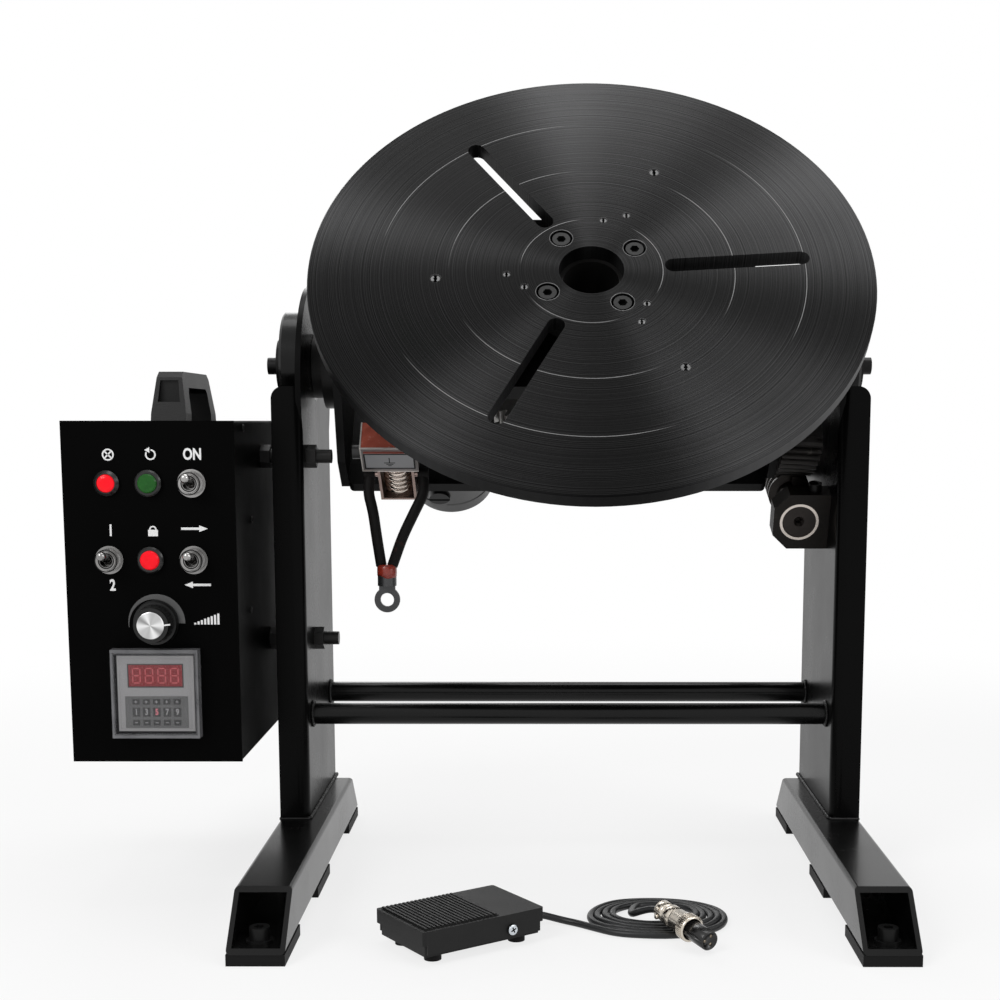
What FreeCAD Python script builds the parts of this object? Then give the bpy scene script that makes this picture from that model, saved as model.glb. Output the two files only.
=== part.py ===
import FreeCAD, Part
import math
import os
import re
import Sketcher

# Welding positioner: a slotted round table on a hollow spindle, carried by a tilting cradle
# between two folded uprights, with a control box and a foot pedal on a lead.
# X runs across the stand, Y to the rear, Z up. Lengths are in millimetres.

doc = FreeCAD.newDocument("WeldingPositioner")
sheet = doc.addObject("Spreadsheet::Sheet", "Sizes")
aliases = []
parts = []


# ---------------------------------------------------------------- sizes

def addSizes(values):
    """Adds named sizes to the sheet, one cell each."""
    for name, amount in values.items():
        cell = "A%d" % (len(aliases) + 1)
        sheet.set(cell, str(amount))
        sheet.setAlias(cell, name)
        aliases.append(name)


# Where the stand's middle lies, and the clearances that many pieces share.
sharedSizes = {
    "originX": 56.95,
    "originY": 58.19,
    "fitGap": 0.3,
    "runGap": 0.05,
    "boltGap": 0.15,
    "headRatio": 1.6,
    "socketRatio": 0.86,
}

# Stand: two folded channels on mitred tube feet, tied by two round bars.
standSizes = {
    "frameGap": 385,
    "sheet": 4,
    "flange": 21.4,
    "uprightDepth": 151.5,
    "bendRadius": 8,
    "flangeCorner": 9,
    "footTop": 40.7,
    "footWidth": 36.7,
    "footInset": 14.8,
    "footWall": 3.2,
    "footFront": 243.8,
    "footRear": 60,
    "footRake": 35.7,
    "footPad": 7.3,
    "footPadLength": 60,
    "footPadMiddle": 108,
    "footPadGrip": 0.6,
    "footBolt": 4,
    "footBoltInset": 17.5,
    "washer": 1.6,
    "crossbar": 8,
    "crossbarSpread": 48,
    "crossbarHeight": 115,
    "stud": 5,
    "studNut": 8.5,
    "studNutThickness": 7,
    "upperStudY": -50,
    "lowerStudY": -28,
    "flangeDrop": 16.7,
    "studInset": 25.8,
    "studRise": 68.9,
    "studEnd": 11,
}

# Tilt axis and cradle.
cradleSizes = {
    "pivotHeight": 373.7,
    "tiltAngle": 50,
    "earThickness": 6,
    "earHalf": 70,
    "earShoulder": 28,
    "earRound": 45,
    "basePlate": 9,
    "baseTop": 51,
    "trunnion": 15,
    "trunnionShoulder": 21,
    "trunnionFlange": 32,
    "trunnionFlangeThickness": 10,
    "bushWall": 3,
    "housing": 41,
    "housingLength": 17.5,
    "spigot": 26,
    "endCap": 20,
    "endCapThickness": 5,
    "endBolt": 4,
    "leftRoom": 18.5,
    "rightRoom": 36.5,
    "baseWidth": 146,
    "earCorner": 2,
    "earChamfer": 12,
}

# Table and its hollow spindle.
tableSizes = {
    "tableX": 14.5,
    "table": 200,
    "tableThickness": 12,
    "faceRise": 100,
    "tableBore": 23,
    "slotOuter": 155,
    "slotWidth": 12.5,
    "slotTurn": 4.4,
    "slotCount": 3,
    "spindleCircle": 37.5,
    "spindleBolt": 4,
    "spindleBoltTurn": 34.4,
    "counterbore": 8.3,
    "counterboreDepth": 8.6,
    "holeCircle": 50,
    "outerHoleCircle": 60,
    "farHoleCircle": 110,
    "smallHole": 2.5,
    "largeHole": 3.4,
    "spindle": 27.5,
    "spindleHole": 20,
    "spindleFlange": 48,
    "spindleFlangeThickness": 12,
    "bearing": 40,
    "bearingWidth": 13,
    "bearingPlate": 13,
    "bearingPlateDrop": 6,
    "pillar": 9,
    "lowerHousing": 56,
    "lowerHousingHeight": 22,
    "bearingPlateRoom": 20.5,
    "bearingPlateWidth": 164,
    "pillarInsetX": 16,
    "pillarInsetY": 16,
    "spindleTail": 24,
    "slotStart": 4,
}

# Table drive: spur gear and pinion above the base plate, gear motor below it.
driveSizes = {
    "gearModule": 2,
    "gearTeeth": 90,
    "pinionTeeth": 20,
    "gearCentres": 110,
    "gearLow": 5,
    "gearWidth": 18,
    "gearBacklash": 0.12,
    "gearHub": 38,
    "gearHubDrop": 10,
    "motor": 34,
    "motorLength": 82,
    "gearboxLength": 44,
    "gearboxBoss": 16,
    "gearboxBossHeight": 4,
    "driveShaft": 7,
    "brushCap": 8.5,
    "brushCapHeight": 5,
    "brushCapDrop": 60,
    "brushCapAside": 8.6,
}

# Tilt drive: a toothed sector on the right ear and a worm under it.
wormSizes = {
    "wormSlope": 20.8,
    "wormModule": 2.5,
    "sectorTeeth": 64,
    "wormPitch": 14,
    "wormCentres": 94,
    "wormBacklash": 0.3,
    "sectorWidth": 28,
    "sectorFrom": -187,
    "sectorTo": -54,
    "sectorHub": 36,
    "wormThread": 56,
    "wormShaft": 10,
    "blockNear": 60.5,
    "blockLength": 18,
    "blockHeight": 43.4,
    "blockLeft": 19.1,
    "blockCorner": 11,
    "wormBush": 14.4,
    "blockBolt": 3,
    "handwheel": 42,
    "handwheelRim": 5,
    "handwheelHub": 13,
    "handwheelReach": 105,
    "handwheelSpokes": 3,
    "crankKnob": 7,
    "crankKnobLength": 38,
    "blockRight": 22,
    "wormJournal": 12.45,
    "centreHole": 2.2,
}

# Earth terminal: a block with its plate, a bracket with a spring, and two leads to a lug.
earthSizes = {
    "earthFront": 88,
    "earthBlockLength": 41,
    "earthBlockDepth": 24,
    "earthBlockHeight": 26,
    "earthBlockLow": 16,
    "earthPlate": 1.2,
    "earthPlateLength": 37,
    "earthPlateHeight": 17,
    "bracketWidth": 27,
    "bracketDepth": 24,
    "bracketSheet": 2,
    "springRadius": 9.6,
    "springWire": 1.4,
    "springTurns": 6,
    "leadPin": 2.2,
    "leadPinFront": 85,
    "leadPinLow": 23,
    "leadPinLength": 12,
    "lead": 4,
    "leadEye": 4.6,
    "leadBottom": 68,
    "leadForward": 5,
    "lugBarrel": 7,
    "lugBarrelLength": 15,
    "lugRing": 9.5,
    "lugHole": 5,
    "lugPalm": 3,
    "stubRadius": 5,
    "stubLength": 7,
    "earthRoom": 42.2,
    "bracketRoom": 45.5,
    "lugRoom": 38,
}

# Control box with its panel fittings, rear sockets, handle and board.
boxSizes = {
    "boxFront": 151,
    "boxBottom": 100.6,
    "boxWidth": 116,
    "boxHeight": 232,
    "boxDepth": 200,
    "boxSheet": 1.5,
    "boxPanel": 2,
    "columnLeft": 28,
    "columnRight": 29,
    "rowDrop": 41.6,
    "rowPitch": 51.5,
    "lamp": 6.2,
    "lampRing": 7.75,
    "buttonRing": 9,
    "buttonBarrel": 8,
    "buttonCap": 6.4,
    "buttonGap": 0.2,
    "buttonTravel": 2.5,
    "toggleRing": 9.5,
    "toggleBush": 6,
    "toggleBore": 4.3,
    "toggleReach": 9,
    "lever": 1.8,
    "leverTip": 3.2,
    "leverLength": 19,
    "leverBall": 3.2,
    "leverAngle": 12,
    "knobX": 2.5,
    "knobZ": 96.4,
    "knob": 15.5,
    "knobHeight": 15,
    "knobCap": 9,
    "knobFlutes": 16,
    "knobShaft": 3,
    "potBody": 12,
    "timerX": 1.7,
    "timerZ": 48.4,
    "timerFace": 48,
    "timerBody": 44.5,
    "timerDepth": 78,
    "timerCoverDepth": 9,
    "handleWidth": 24.5,
    "handleHeight": 34,
    "handleLength": 100,
    "handleGrip": 11,
    "handlePost": 14,
    "handleMiddle": 95,
    "handleRim": 4.5,
    "handleFoot": 13,
    "handleHollow": 9,
    "handleX": 4,
    "socketX": 24,
    "socketZ": 70,
    "socketBarrel": 8,
    "inletX": 20,
    "inletZ": 62,
    "inletWidth": 27,
    "inletHeight": 31,
    "boardStand": 10,
    "board": 1.6,
    "boardFront": 50,
    "boardLow": 98,
    "boxGap": 29.5,
    "boardTopRoom": 14,
    "boardRearRoom": 20,
    "timerCoverEdgeX": 5.65,
    "timerCoverEdgeZ": 6.35,
    "leverPin": 1.2,
}

# Foot pedal: a tray, a lid that rocks on a pin, and the cord's gland.
pedalSizes = {
    "pedalX": 72.6,
    "pedalY": 231.5,
    "pedalTurn": 35.3,
    "trayTop": 16.5,
    "trayWall": 2,
    "pedalFoot": 5.5,
    "pedalFootRadius": 5.5,
    "pedalFootX": 31.5,
    "pedalFootY": 18,
    "coverLength": 90,
    "coverWidth": 60,
    "coverTop": 22.5,
    "coverWall": 1.6,
    "coverLip": 9,
    "treadLength": 54,
    "treadRise": 1.4,
    "treadRibs": 18,
    "pedalPin": 2.5,
    "pedalPinX": 20,
    "pedalPinZ": 12.5,
    "cordRadius": 2.35,
    "cordExitZ": 9.6,
    "glandLength": 7,
    "glandRadius": 3.5,
    "trayEndInset": 2.5,
    "traySideInset": 2,
    "skirtLow": 7.5,
    "skirtInset": 3,
}

# Cord: out of the pedal to a flat coil on the floor, then over the coil into its plug.
coilSizes = {
    "coilX": 56,
    "coilY": 190,
    "coilOuterX": 52,
    "coilOuterY": 41.5,
    "coilInnerX": 23,
    "coilInnerY": 17,
    "coilInnerBack": 9,
    "coilHeight": 4.8,
}

for values in (sharedSizes, standSizes, cradleSizes, tableSizes, driveSizes, wormSizes, earthSizes, boxSizes,
               pedalSizes, coilSizes):
    addSizes(values)
doc.recompute()

# Sizes that follow from the ones above.
derived = {
    "webInner": "(frameGap / 2)",
    "webOuter": "(frameGap / 2 + sheet)",
    "footMid": "(frameGap / 2 - footInset + footWidth / 2)",
    "flangeTop": "(pivotHeight - flangeDrop)",
    "cradleLeft": "(frameGap / 2 - leftRoom)",
    "cradleRight": "(frameGap / 2 - rightRoom)",
    "baseHalf": "(baseWidth / 2)",
    "wormX": "(frameGap / 2 - blockRight)",
    "wormBushInner": "wormJournal",
    "bearingPlateHalf": "(bearingPlateWidth / 2)",
    "bearingPlateSide": "(cradleRight - tableX - bearingPlateRoom)",
    "plateTop": "(faceRise - tableThickness - spindleFlangeThickness - bearingPlateDrop)",
    "spindleEnd": "(baseTop + basePlate + spindleTail)",
    "slotInner": "(spindleFlange + slotStart)",
    "motorTop": "(-baseTop - basePlate)",
    "capStart": "(frameGap / 2 + sheet + housingLength + fitGap)",
    "earthX": "(cradleLeft - earthRoom)",
    "bracketX": "(cradleLeft - bracketRoom)",
    "lugX": "(cradleLeft - lugRoom)",
    "boxX": "(webOuter + boxGap + boxWidth / 2)",
    "upperStudZ": "(boxBottom + boxHeight - studInset)",
    "lowerStudZ": "(boxBottom + studRise)",
    "studLength": "(boxSheet + 2 * studNutThickness + boxGap + sheet + studEnd)",
    "rowTop": "(boxHeight - rowDrop)",
    "rowMiddle": "(rowTop - rowPitch)",
    "boardHeight": "(boxHeight - boardLow - boardTopRoom)",
    "boardLength": "(boxDepth - boardFront - boardRearRoom)",
    "timerCoverWidth": "(timerFace + 2 * timerCoverEdgeX)",
    "timerCoverHeight": "(timerFace + 2 * timerCoverEdgeZ)",
    "trayLength": "(coverLength - 2 * trayEndInset)",
    "trayWidth": "(coverWidth - 2 * traySideInset)",
}


# ---------------------------------------------------------------- expressions

def ex(text):
    """Turns 'webOuter - 2' into an expression on the sheet's cells."""
    def cell(match):
        word = match.group(0)
        if word in derived:
            return ex(derived[word])
        return "Sizes." + word if word in aliases else word
    return re.sub(r"[A-Za-z_]\w*", cell, str(text))


def value(text):
    """The number that an expression on the sheet gives now."""
    result = sheet.evalExpression(ex(text))
    return float(getattr(result, "Value", result))


def tie(thing, prop, text):
    thing.setExpression(prop, ex(text))


# ---------------------------------------------------------------- frames

# Each frame is the expressions of its origin and, if it is turned, its axis and angle.
frames = {
    "floor": ("originX", "originY", "0", None, None),
    "tilt": ("originX", "originY", "pivotHeight", (1, 0, 0), "tiltAngle"),
    "spindle": ("originX + tableX", "originY", "pivotHeight", (1, 0, 0), "tiltAngle"),
    "pinion": ("originX + tableX - gearCentres", "originY", "pivotHeight", (1, 0, 0), "tiltAngle"),
    "worm": (
        "originX + wormX",
        "originY + sin(wormSlope) * wormCentres",
        "pivotHeight - cos(wormSlope) * wormCentres",
        (1, 0, 0),
        "wormSlope",
    ),
    "box": ("originX - boxX", "originY - boxFront", "boxBottom", None, None),
    "pedal": ("originX - pedalX", "originY - pedalY", "0", (0, 0, 1), "pedalTurn"),
}


def at(thing, x="0", y="0", z="0"):
    """Ties a thing's place to three expressions."""
    for prop, text in (("x", x), ("y", y), ("z", z)):
        tie(thing, "Placement.Base." + prop, text)
    return thing


def seat(thing, name, frame="floor"):
    """Names a finished sub-part and puts it in its frame."""
    x, y, z, axis, angle = frames[frame]
    thing.Label = name
    if axis:
        thing.Placement = FreeCAD.Placement(FreeCAD.Vector(), FreeCAD.Rotation(FreeCAD.Vector(*axis), 1))
        tie(thing, "Placement.Rotation.Angle", angle)
    at(thing, x, y, z)
    parts.append(thing)
    return thing


# ---------------------------------------------------------------- primitives and booleans

turns = {
    "X": FreeCAD.Rotation(FreeCAD.Vector(0, 1, 0), 90),
    "-X": FreeCAD.Rotation(FreeCAD.Vector(0, 1, 0), -90),
    "Y": FreeCAD.Rotation(FreeCAD.Vector(1, 0, 0), -90),
    "-Y": FreeCAD.Rotation(FreeCAD.Vector(1, 0, 0), 90),
    "Z": FreeCAD.Rotation(),
    "-Z": FreeCAD.Rotation(FreeCAD.Vector(1, 0, 0), 180),
}


def block(x, y, z, length, width, height):
    thing = doc.addObject("Part::Box", "Block")
    tie(thing, "Length", length)
    tie(thing, "Width", width)
    tie(thing, "Height", height)
    return at(thing, x, y, z)


def rod(axis, x, y, z, radius, length):
    """A cylinder that starts at a point and runs along an axis."""
    thing = doc.addObject("Part::Cylinder", "Rod")
    tie(thing, "Radius", radius)
    tie(thing, "Height", length)
    thing.Placement = FreeCAD.Placement(FreeCAD.Vector(), turns[axis])
    return at(thing, x, y, z)


def taper(axis, x, y, z, first, second, length):
    thing = doc.addObject("Part::Cone", "Taper")
    tie(thing, "Radius1", first)
    tie(thing, "Radius2", second)
    tie(thing, "Height", length)
    thing.Placement = FreeCAD.Placement(FreeCAD.Vector(), turns[axis])
    return at(thing, x, y, z)


def hexagon(axis, x, y, z, corner, length):
    """A six-sided prism, given by the radius to its corners."""
    thing = doc.addObject("Part::Prism", "Hexagon")
    thing.Polygon = 6
    tie(thing, "Circumradius", corner)
    tie(thing, "Height", length)
    thing.Placement = FreeCAD.Placement(FreeCAD.Vector(), turns[axis])
    return at(thing, x, y, z)


def fuse(*things):
    joined = doc.addObject("Part::MultiFuse", "Fuse")
    joined.Shapes = list(things)
    joined.Refine = True
    return joined


def cut(base, *tools):
    result = doc.addObject("Part::Cut", "Cut")
    result.Base = base
    result.Tool = tools[0] if len(tools) == 1 else fuse(*tools)
    return result


def group(things):
    """Separate solids that share one sub-part, such as identical fasteners."""
    result = doc.addObject("Part::Compound", "Group")
    result.Links = list(things)
    return result


def capScrew(axis, x, y, z, radius, length):
    """A socket cap screw: its head's seat is the point, and the axis points out of the head."""
    back = axis[1:] if axis.startswith("-") else "-" + axis
    head = rod(axis, x, y, z, "%s * headRatio" % radius, "%s * 2" % radius)
    reach = {"X": 0, "Y": 1, "Z": 2}[axis[-1]]
    sign = "-" if axis.startswith("-") else "+"
    socketAt = [x, y, z]
    socketAt[reach] = "%s %s %s" % (socketAt[reach], sign, radius)
    socket = hexagon(axis, *socketAt, "%s * socketRatio" % radius, "%s * 1.2" % radius)
    shank = rod(back, x, y, z, radius, length)
    return cut(fuse(head, shank), socket)


# ---------------------------------------------------------------- sketches and features

def newBody():
    return doc.addObject("PartDesign::Body", "Body")


def sketch(owner, plane, lift="0"):
    """A sketch on one of its own body's origin planes, lifted along the plane's normal."""
    drawing = owner.newObject("Sketcher::SketchObject", "Sketch")
    for feature in owner.Origin.OriginFeatures:
        if feature.Role == plane + "_Plane":
            drawing.AttachmentSupport = (feature, "")
    drawing.MapMode = "FlatFace"
    tie(drawing, "AttachmentOffset.Base.z", lift)
    return drawing


def hold(drawing, line, end, x, y):
    """Ties one point of a sketch to its two coordinates."""
    for kind, axis, text in (("DistanceX", -2, x), ("DistanceY", -1, y)):
        amount = value(text)
        if abs(amount) < 1e-9:
            drawing.addConstraint(Sketcher.Constraint("PointOnObject", line, end, axis))
        else:
            index = drawing.addConstraint(Sketcher.Constraint(kind, -1, 1, line, end, amount))
            tie(drawing, "Constraints[%d]" % index, text)


def polygon(drawing, points):
    corners = [FreeCAD.Vector(value(x), value(y), 0) for x, y in points]
    first = drawing.GeometryCount
    count = len(corners)
    for index in range(count):
        drawing.addGeometry(Part.LineSegment(corners[index], corners[(index + 1) % count]), False)
    for index in range(count):
        after = first + (index + 1) % count
        drawing.addConstraint(Sketcher.Constraint("Coincident", first + index, 2, after, 1))
    for index, (x, y) in enumerate(points):
        hold(drawing, first + index, 1, x, y)
    return drawing


def circle(drawing, x, y, radius):
    centre = FreeCAD.Vector(value(x), value(y), 0)
    line = drawing.addGeometry(Part.Circle(centre, FreeCAD.Vector(0, 0, 1), value(radius)), False)
    hold(drawing, line, 3, x, y)
    index = drawing.addConstraint(Sketcher.Constraint("Radius", line, value(radius)))
    tie(drawing, "Constraints[%d]" % index, radius)
    return drawing


def pad(owner, drawing, length, back=False, middle=False):
    feature = owner.newObject("PartDesign::Pad", "Pad")
    feature.Profile = drawing
    tie(feature, "Length", length)
    feature.Reversed = back
    feature.Midplane = middle
    return feature


def pocket(owner, drawing, length, back=False, middle=False):
    """Cuts a sketch away, and stops if nothing was cut."""
    doc.recompute()
    before = owner.Shape.Volume
    feature = owner.newObject("PartDesign::Pocket", "Pocket")
    feature.Profile = drawing
    tie(feature, "Length", length)
    feature.Reversed = back
    feature.Midplane = middle
    doc.recompute()
    if owner.Shape.Volume > before - 1e-6:
        raise RuntimeError("a pocket cut nothing in " + owner.Label)
    return feature


def turned(axis, points):
    """A revolved body: each point is a place along the axis and a radius."""
    owner = newBody()
    drawing = sketch(owner, "XZ" if axis == "Z" else "XY")
    polygon(drawing, points if axis == "X" else [(radius, along) for along, radius in points])
    feature = owner.newObject("PartDesign::Revolution", "Revolution")
    feature.Profile = drawing
    feature.ReferenceAxis = (drawing, ["H_Axis" if axis == "X" else "V_Axis"])
    feature.Angle = 360
    return owner


def soften(owner, radius, chosen, kind="Fillet"):
    """Rounds or chamfers the edges of a body that a test chooses."""
    doc.recompute()
    tip = owner.Tip
    names = ["Edge%d" % (n + 1) for n, edge in enumerate(tip.Shape.Edges) if chosen(edge)]
    if not names:
        raise RuntimeError("no edge to soften")
    feature = owner.newObject("PartDesign::" + kind, kind)
    feature.Base = (tip, names)
    tie(feature, "Radius" if kind == "Fillet" else "Size", radius)
    doc.recompute()
    return feature


def along(edge, axis):
    """True for a straight edge that runs along X, Y or Z."""
    if edge.Curve.TypeId != "Part::GeomLine":
        return False
    direction = edge.Curve.Direction
    return abs((direction.x, direction.y, direction.z)["XYZ".index(axis)]) > 0.999


def near(number, text, slack=0.01):
    return abs(number - value(text)) < slack


def feature(name, shape, frame):
    """A sub-part whose shape is worked out here from the sheet's values."""
    thing = doc.addObject("Part::Feature", "Shape")
    thing.Shape = Part.makeCompound([shape])
    return seat(thing, name, frame)


# ---------------------------------------------------------------- stand

def footTube(side):
    """A rectangular tube with both ends mitred and open."""
    owner = newBody()
    outline = sketch(owner, "YZ", "-footWidth / 2")
    polygon(outline, [
        ("-footFront", "footTop"),
        ("footRear", "footTop"),
        ("footRear + footRake", "footPad"),
        ("-footFront - footRake", "footPad"),
    ])
    pad(owner, outline, "footWidth")
    hollow = sketch(owner, "XZ")
    polygon(hollow, [
        ("-footWidth / 2 + footWall", "footPad + footWall"),
        ("footWidth / 2 - footWall", "footPad + footWall"),
        ("footWidth / 2 - footWall", "footTop - footWall"),
        ("-footWidth / 2 + footWall", "footTop - footWall"),
    ])
    pocket(owner, hollow, "3 * (footFront + footRake)", middle=True)
    soften(owner, "footWall - 0.4", lambda edge: along(edge, "Y") and (
        near(abs(edge.BoundBox.XMin), "footWidth / 2")))
    drill = sketch(owner, "XY", "footPad")
    for end in ("-footFront - footRake + footBoltInset", "footRear + footRake - footBoltInset"):
        circle(drill, "0", end, "footBolt + boltGap")
    pocket(owner, drill, "footWall + 1", back=True)
    return at(owner, side + "footMid")


seat(group([footTube("-"), footTube("+")]), "foot_tubes")

pads = []
bolts = []
for side in "-+":
    for start in (
        "-footFront - footRake + footPadGrip",
        "-footPadMiddle - footPadLength / 2",
        "footRear + footRake - footPadGrip - footPadLength",
    ):
        pads.append(block(side + "footMid - footWidth / 2", start, "0",
                          "footWidth", "footPadLength", "footPad"))
    for end in ("-footFront - footRake + footBoltInset", "footRear + footRake - footBoltInset"):
        x = side + "footMid"
        drill = rod("Z", x, end, "footPad / 2", "footBolt + boltGap", "footPad")
        index = len(pads) - (3 if "Front" in end else 1)
        pads[index] = cut(pads[index], drill)
        screw = capScrew("Z", x, end, "footPad + footWall + washer", "footBolt",
                         "footWall + washer + footPad / 2 - fitGap")
        ring = cut(rod("Z", x, end, "footPad + footWall", "2.1 * footBolt", "washer"),
                   rod("Z", x, end, "footPad + footWall - 1", "footBolt + boltGap", "washer + 2"))
        bolts += [screw, ring]
seat(group(pads), "foot_pads")
seat(group(bolts), "foot_bolts")


def upright(side, name):
    """A folded channel with its flanges outward and a half-round head on its web."""
    owner = newBody()
    half = "uprightDepth / 2"
    section = sketch(owner, "XY", "footTop")
    polygon(section, [
        (side + "0", "-" + half),
        (side + "flange", "-" + half),
        (side + "flange", "-%s + sheet" % half),
        (side + "sheet", "-%s + sheet" % half),
        (side + "sheet", "%s - sheet" % half),
        (side + "flange", "%s - sheet" % half),
        (side + "flange", half),
        (side + "0", half),
    ])
    pad(owner, section, "flangeTop - footTop")
    soften(owner, "bendRadius", lambda edge: along(edge, "Z") and abs(edge.BoundBox.XMin) < 0.01)
    soften(owner, "bendRadius - sheet", lambda edge: along(edge, "Z") and (
        near(abs(edge.BoundBox.XMin), "sheet")))
    soften(owner, "flangeCorner", lambda edge: along(edge, "Y") and (
        near(edge.BoundBox.ZMin, "flangeTop") and near(abs(edge.BoundBox.XMin), "flange")))
    head = sketch(owner, "YZ")
    circle(head, "0", "flangeTop", "%s - fitGap" % half)
    pad(owner, head, "sheet", back=side == "-")
    holes = sketch(owner, "YZ")
    circle(holes, "0", "pivotHeight", "spigot + boltGap")
    for y in ("-crossbarSpread", "crossbarSpread"):
        circle(holes, y, "crossbarHeight", "crossbar + boltGap")
    if side == "-":
        for y, z in studPlaces:
            circle(holes, "%s" % y, z, "stud + boltGap")
    pocket(owner, holes, "3 * sheet", middle=True)
    at(owner, side + "webInner")
    seated = group([owner])
    return seat(seated, name)


# Two studs hold the control box to the left web: each place is along Y and up Z.
studPlaces = (("upperStudY", "upperStudZ"), ("lowerStudY", "lowerStudZ"))

upright("-", "left_upright")
upright("+", "right_upright")

bars = []
for y in ("-crossbarSpread", "crossbarSpread"):
    bars.append(rod("X", "-webOuter", y, "crossbarHeight", "crossbar", "frameGap + 2 * sheet"))
seat(group(bars), "crossbars")

# Trunnion housings on the outside of the webs, each with a bronze bush.
housings = []
bushes = []
for side in "-+":
    bore = "trunnion + bushWall"
    profile = [
        ("%s(frameGap / 2)" % side, bore),
        ("%s(frameGap / 2)" % side, "spigot"),
        ("%s(frameGap / 2 + sheet)" % side, "spigot"),
        ("%s(frameGap / 2 + sheet)" % side, "housing"),
        ("%s(frameGap / 2 + sheet + housingLength - 2)" % side, "housing"),
        ("%s(frameGap / 2 + sheet + housingLength)" % side, "housing - 2"),
        ("%s(frameGap / 2 + sheet + housingLength)" % side, bore),
    ]
    housings.append(turned("X", profile))
    bushes.append(turned("X", [
        ("%s(frameGap / 2)" % side, "trunnion + runGap"),
        ("%s(frameGap / 2)" % side, bore),
        ("%s(frameGap / 2 + sheet + housingLength)" % side, bore),
        ("%s(frameGap / 2 + sheet + housingLength)" % side, "trunnion + runGap"),
    ]))
for thing in housings + bushes:
    at(thing, "0", "0", "pivotHeight")
seat(group(housings), "trunnion_housings")
seat(group(bushes), "trunnion_bushes")

# Worm blocks: chamfered on the side away from the web, bolted to it from outside.


def wormBlock(start):
    owner = newBody()
    face = sketch(owner, "XZ", "-(%s)" % start)
    polygon(face, [
        ("-blockLeft + blockCorner", "-blockHeight / 2"),
        ("blockRight", "-blockHeight / 2"),
        ("blockRight", "blockHeight / 2"),
        ("-blockLeft + blockCorner", "blockHeight / 2"),
        ("-blockLeft", "blockHeight / 2 - blockCorner"),
        ("-blockLeft", "-blockHeight / 2 + blockCorner"),
    ])
    pad(owner, face, "blockLength", back=True)
    bore = sketch(owner, "XZ", "-(%s)" % start)
    circle(bore, "0", "0", "wormBush")
    pocket(owner, bore, "3 * blockLength", middle=True)
    return owner


blockStarts = ("-blockNear - blockLength", "blockNear")
seat(group([wormBlock(start) for start in blockStarts]), "worm_blocks", "worm")

rings = []
for start in blockStarts:
    rings.append(cut(rod("Y", "0", start, "0", "wormBush", "blockLength"),
                     rod("Y", "0", "%s - 1" % start, "0", "wormBushInner + runGap", "blockLength + 2")))
seat(group(rings), "worm_bushes", "worm")

clamps = []
for start in blockStarts:
    clamps.append(capScrew("Z", "blockRight / 2", "%s + blockLength / 2" % start,
                           "blockHeight / 2", "blockBolt", "1"))
seat(group([cut(clamps[0], rod("-Z", "blockRight / 2", "-blockNear - blockLength / 2",
                               "blockHeight / 2", "blockBolt + 1", "2")),
            cut(clamps[1], rod("-Z", "blockRight / 2", "blockNear + blockLength / 2",
                               "blockHeight / 2", "blockBolt + 1", "2"))]), "block_screws", "worm")


# ---------------------------------------------------------------- cradle

tangent = "(acos(earRound / sqrt(earHalf^2 + earShoulder^2)) - atan(earShoulder / earHalf))"


def ear(inner, corner):
    """A side plate: square below, with its corners cut off, and drawn in to a round head."""
    owner = newBody()
    outline = sketch(owner, "YZ", inner)
    polygon(outline, [
        ("-earHalf", "-baseTop - basePlate + " + corner),
        ("-earHalf + " + corner, "-baseTop - basePlate"),
        ("earHalf - " + corner, "-baseTop - basePlate"),
        ("earHalf", "-baseTop - basePlate + " + corner),
        ("earHalf", "-earShoulder"),
        ("earRound * cos%s" % tangent, "earRound * sin%s" % tangent),
        ("-earRound * cos%s" % tangent, "earRound * sin%s" % tangent),
        ("-earHalf", "-earShoulder"),
    ])
    pad(owner, outline, "earThickness")
    head = sketch(owner, "YZ", inner)
    circle(head, "0", "0", "earRound")
    pad(owner, head, "earThickness")
    bore = sketch(owner, "YZ", inner)
    circle(bore, "0", "0", "trunnionShoulder + boltGap")
    pocket(owner, bore, "3 * earThickness", middle=True)
    return owner


# The right ear swings past the worm, so its corners are cut off further.
seat(group([ear("-cradleLeft", "earCorner"), ear("cradleRight - earThickness", "earChamfer")]),
     "cradle_ears", "tilt")

base = newBody()
outline = sketch(base, "XY", "-baseTop - basePlate")
polygon(outline, [
    ("-cradleLeft + earThickness", "-baseHalf"),
    ("cradleRight - earThickness", "-baseHalf"),
    ("cradleRight - earThickness", "baseHalf"),
    ("-cradleLeft + earThickness", "baseHalf"),
])
pad(base, outline, "basePlate")
holes = sketch(base, "XY", "-baseTop - basePlate")
circle(holes, "tableX", "0", "spindle + 2")
circle(holes, "tableX - gearCentres", "0", "motor / 2")
pocket(base, holes, "3 * basePlate", middle=True)
soften(base, "4", lambda edge: along(edge, "Z"))
seat(base, "cradle_base", "tilt")

# Pillars carry the upper bearing plate above the spur gear.
plate = newBody()
outline = sketch(plate, "XY", "plateTop")
polygon(outline, [
    ("-bearingPlateSide", "-bearingPlateHalf"),
    ("bearingPlateSide", "-bearingPlateHalf"),
    ("bearingPlateSide", "bearingPlateHalf"),
    ("-bearingPlateSide", "bearingPlateHalf"),
])
pad(plate, outline, "bearingPlate", back=True)
hole = sketch(plate, "XY", "plateTop")
circle(hole, "0", "0", "bearing")
pocket(plate, hole, "3 * bearingPlate", middle=True)
soften(plate, "6", lambda edge: along(edge, "Z"))
seat(plate, "bearing_plate", "spindle")

pillars = []
for x in ("-bearingPlateSide + pillarInsetX", "bearingPlateSide - pillarInsetX"):
    for y in ("-baseHalf + pillarInsetY", "baseHalf - pillarInsetY"):
        pillars.append(rod("Z", x, y, "-baseTop", "pillar", "plateTop - bearingPlate + baseTop"))
seat(group(pillars), "pillars", "spindle")

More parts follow.
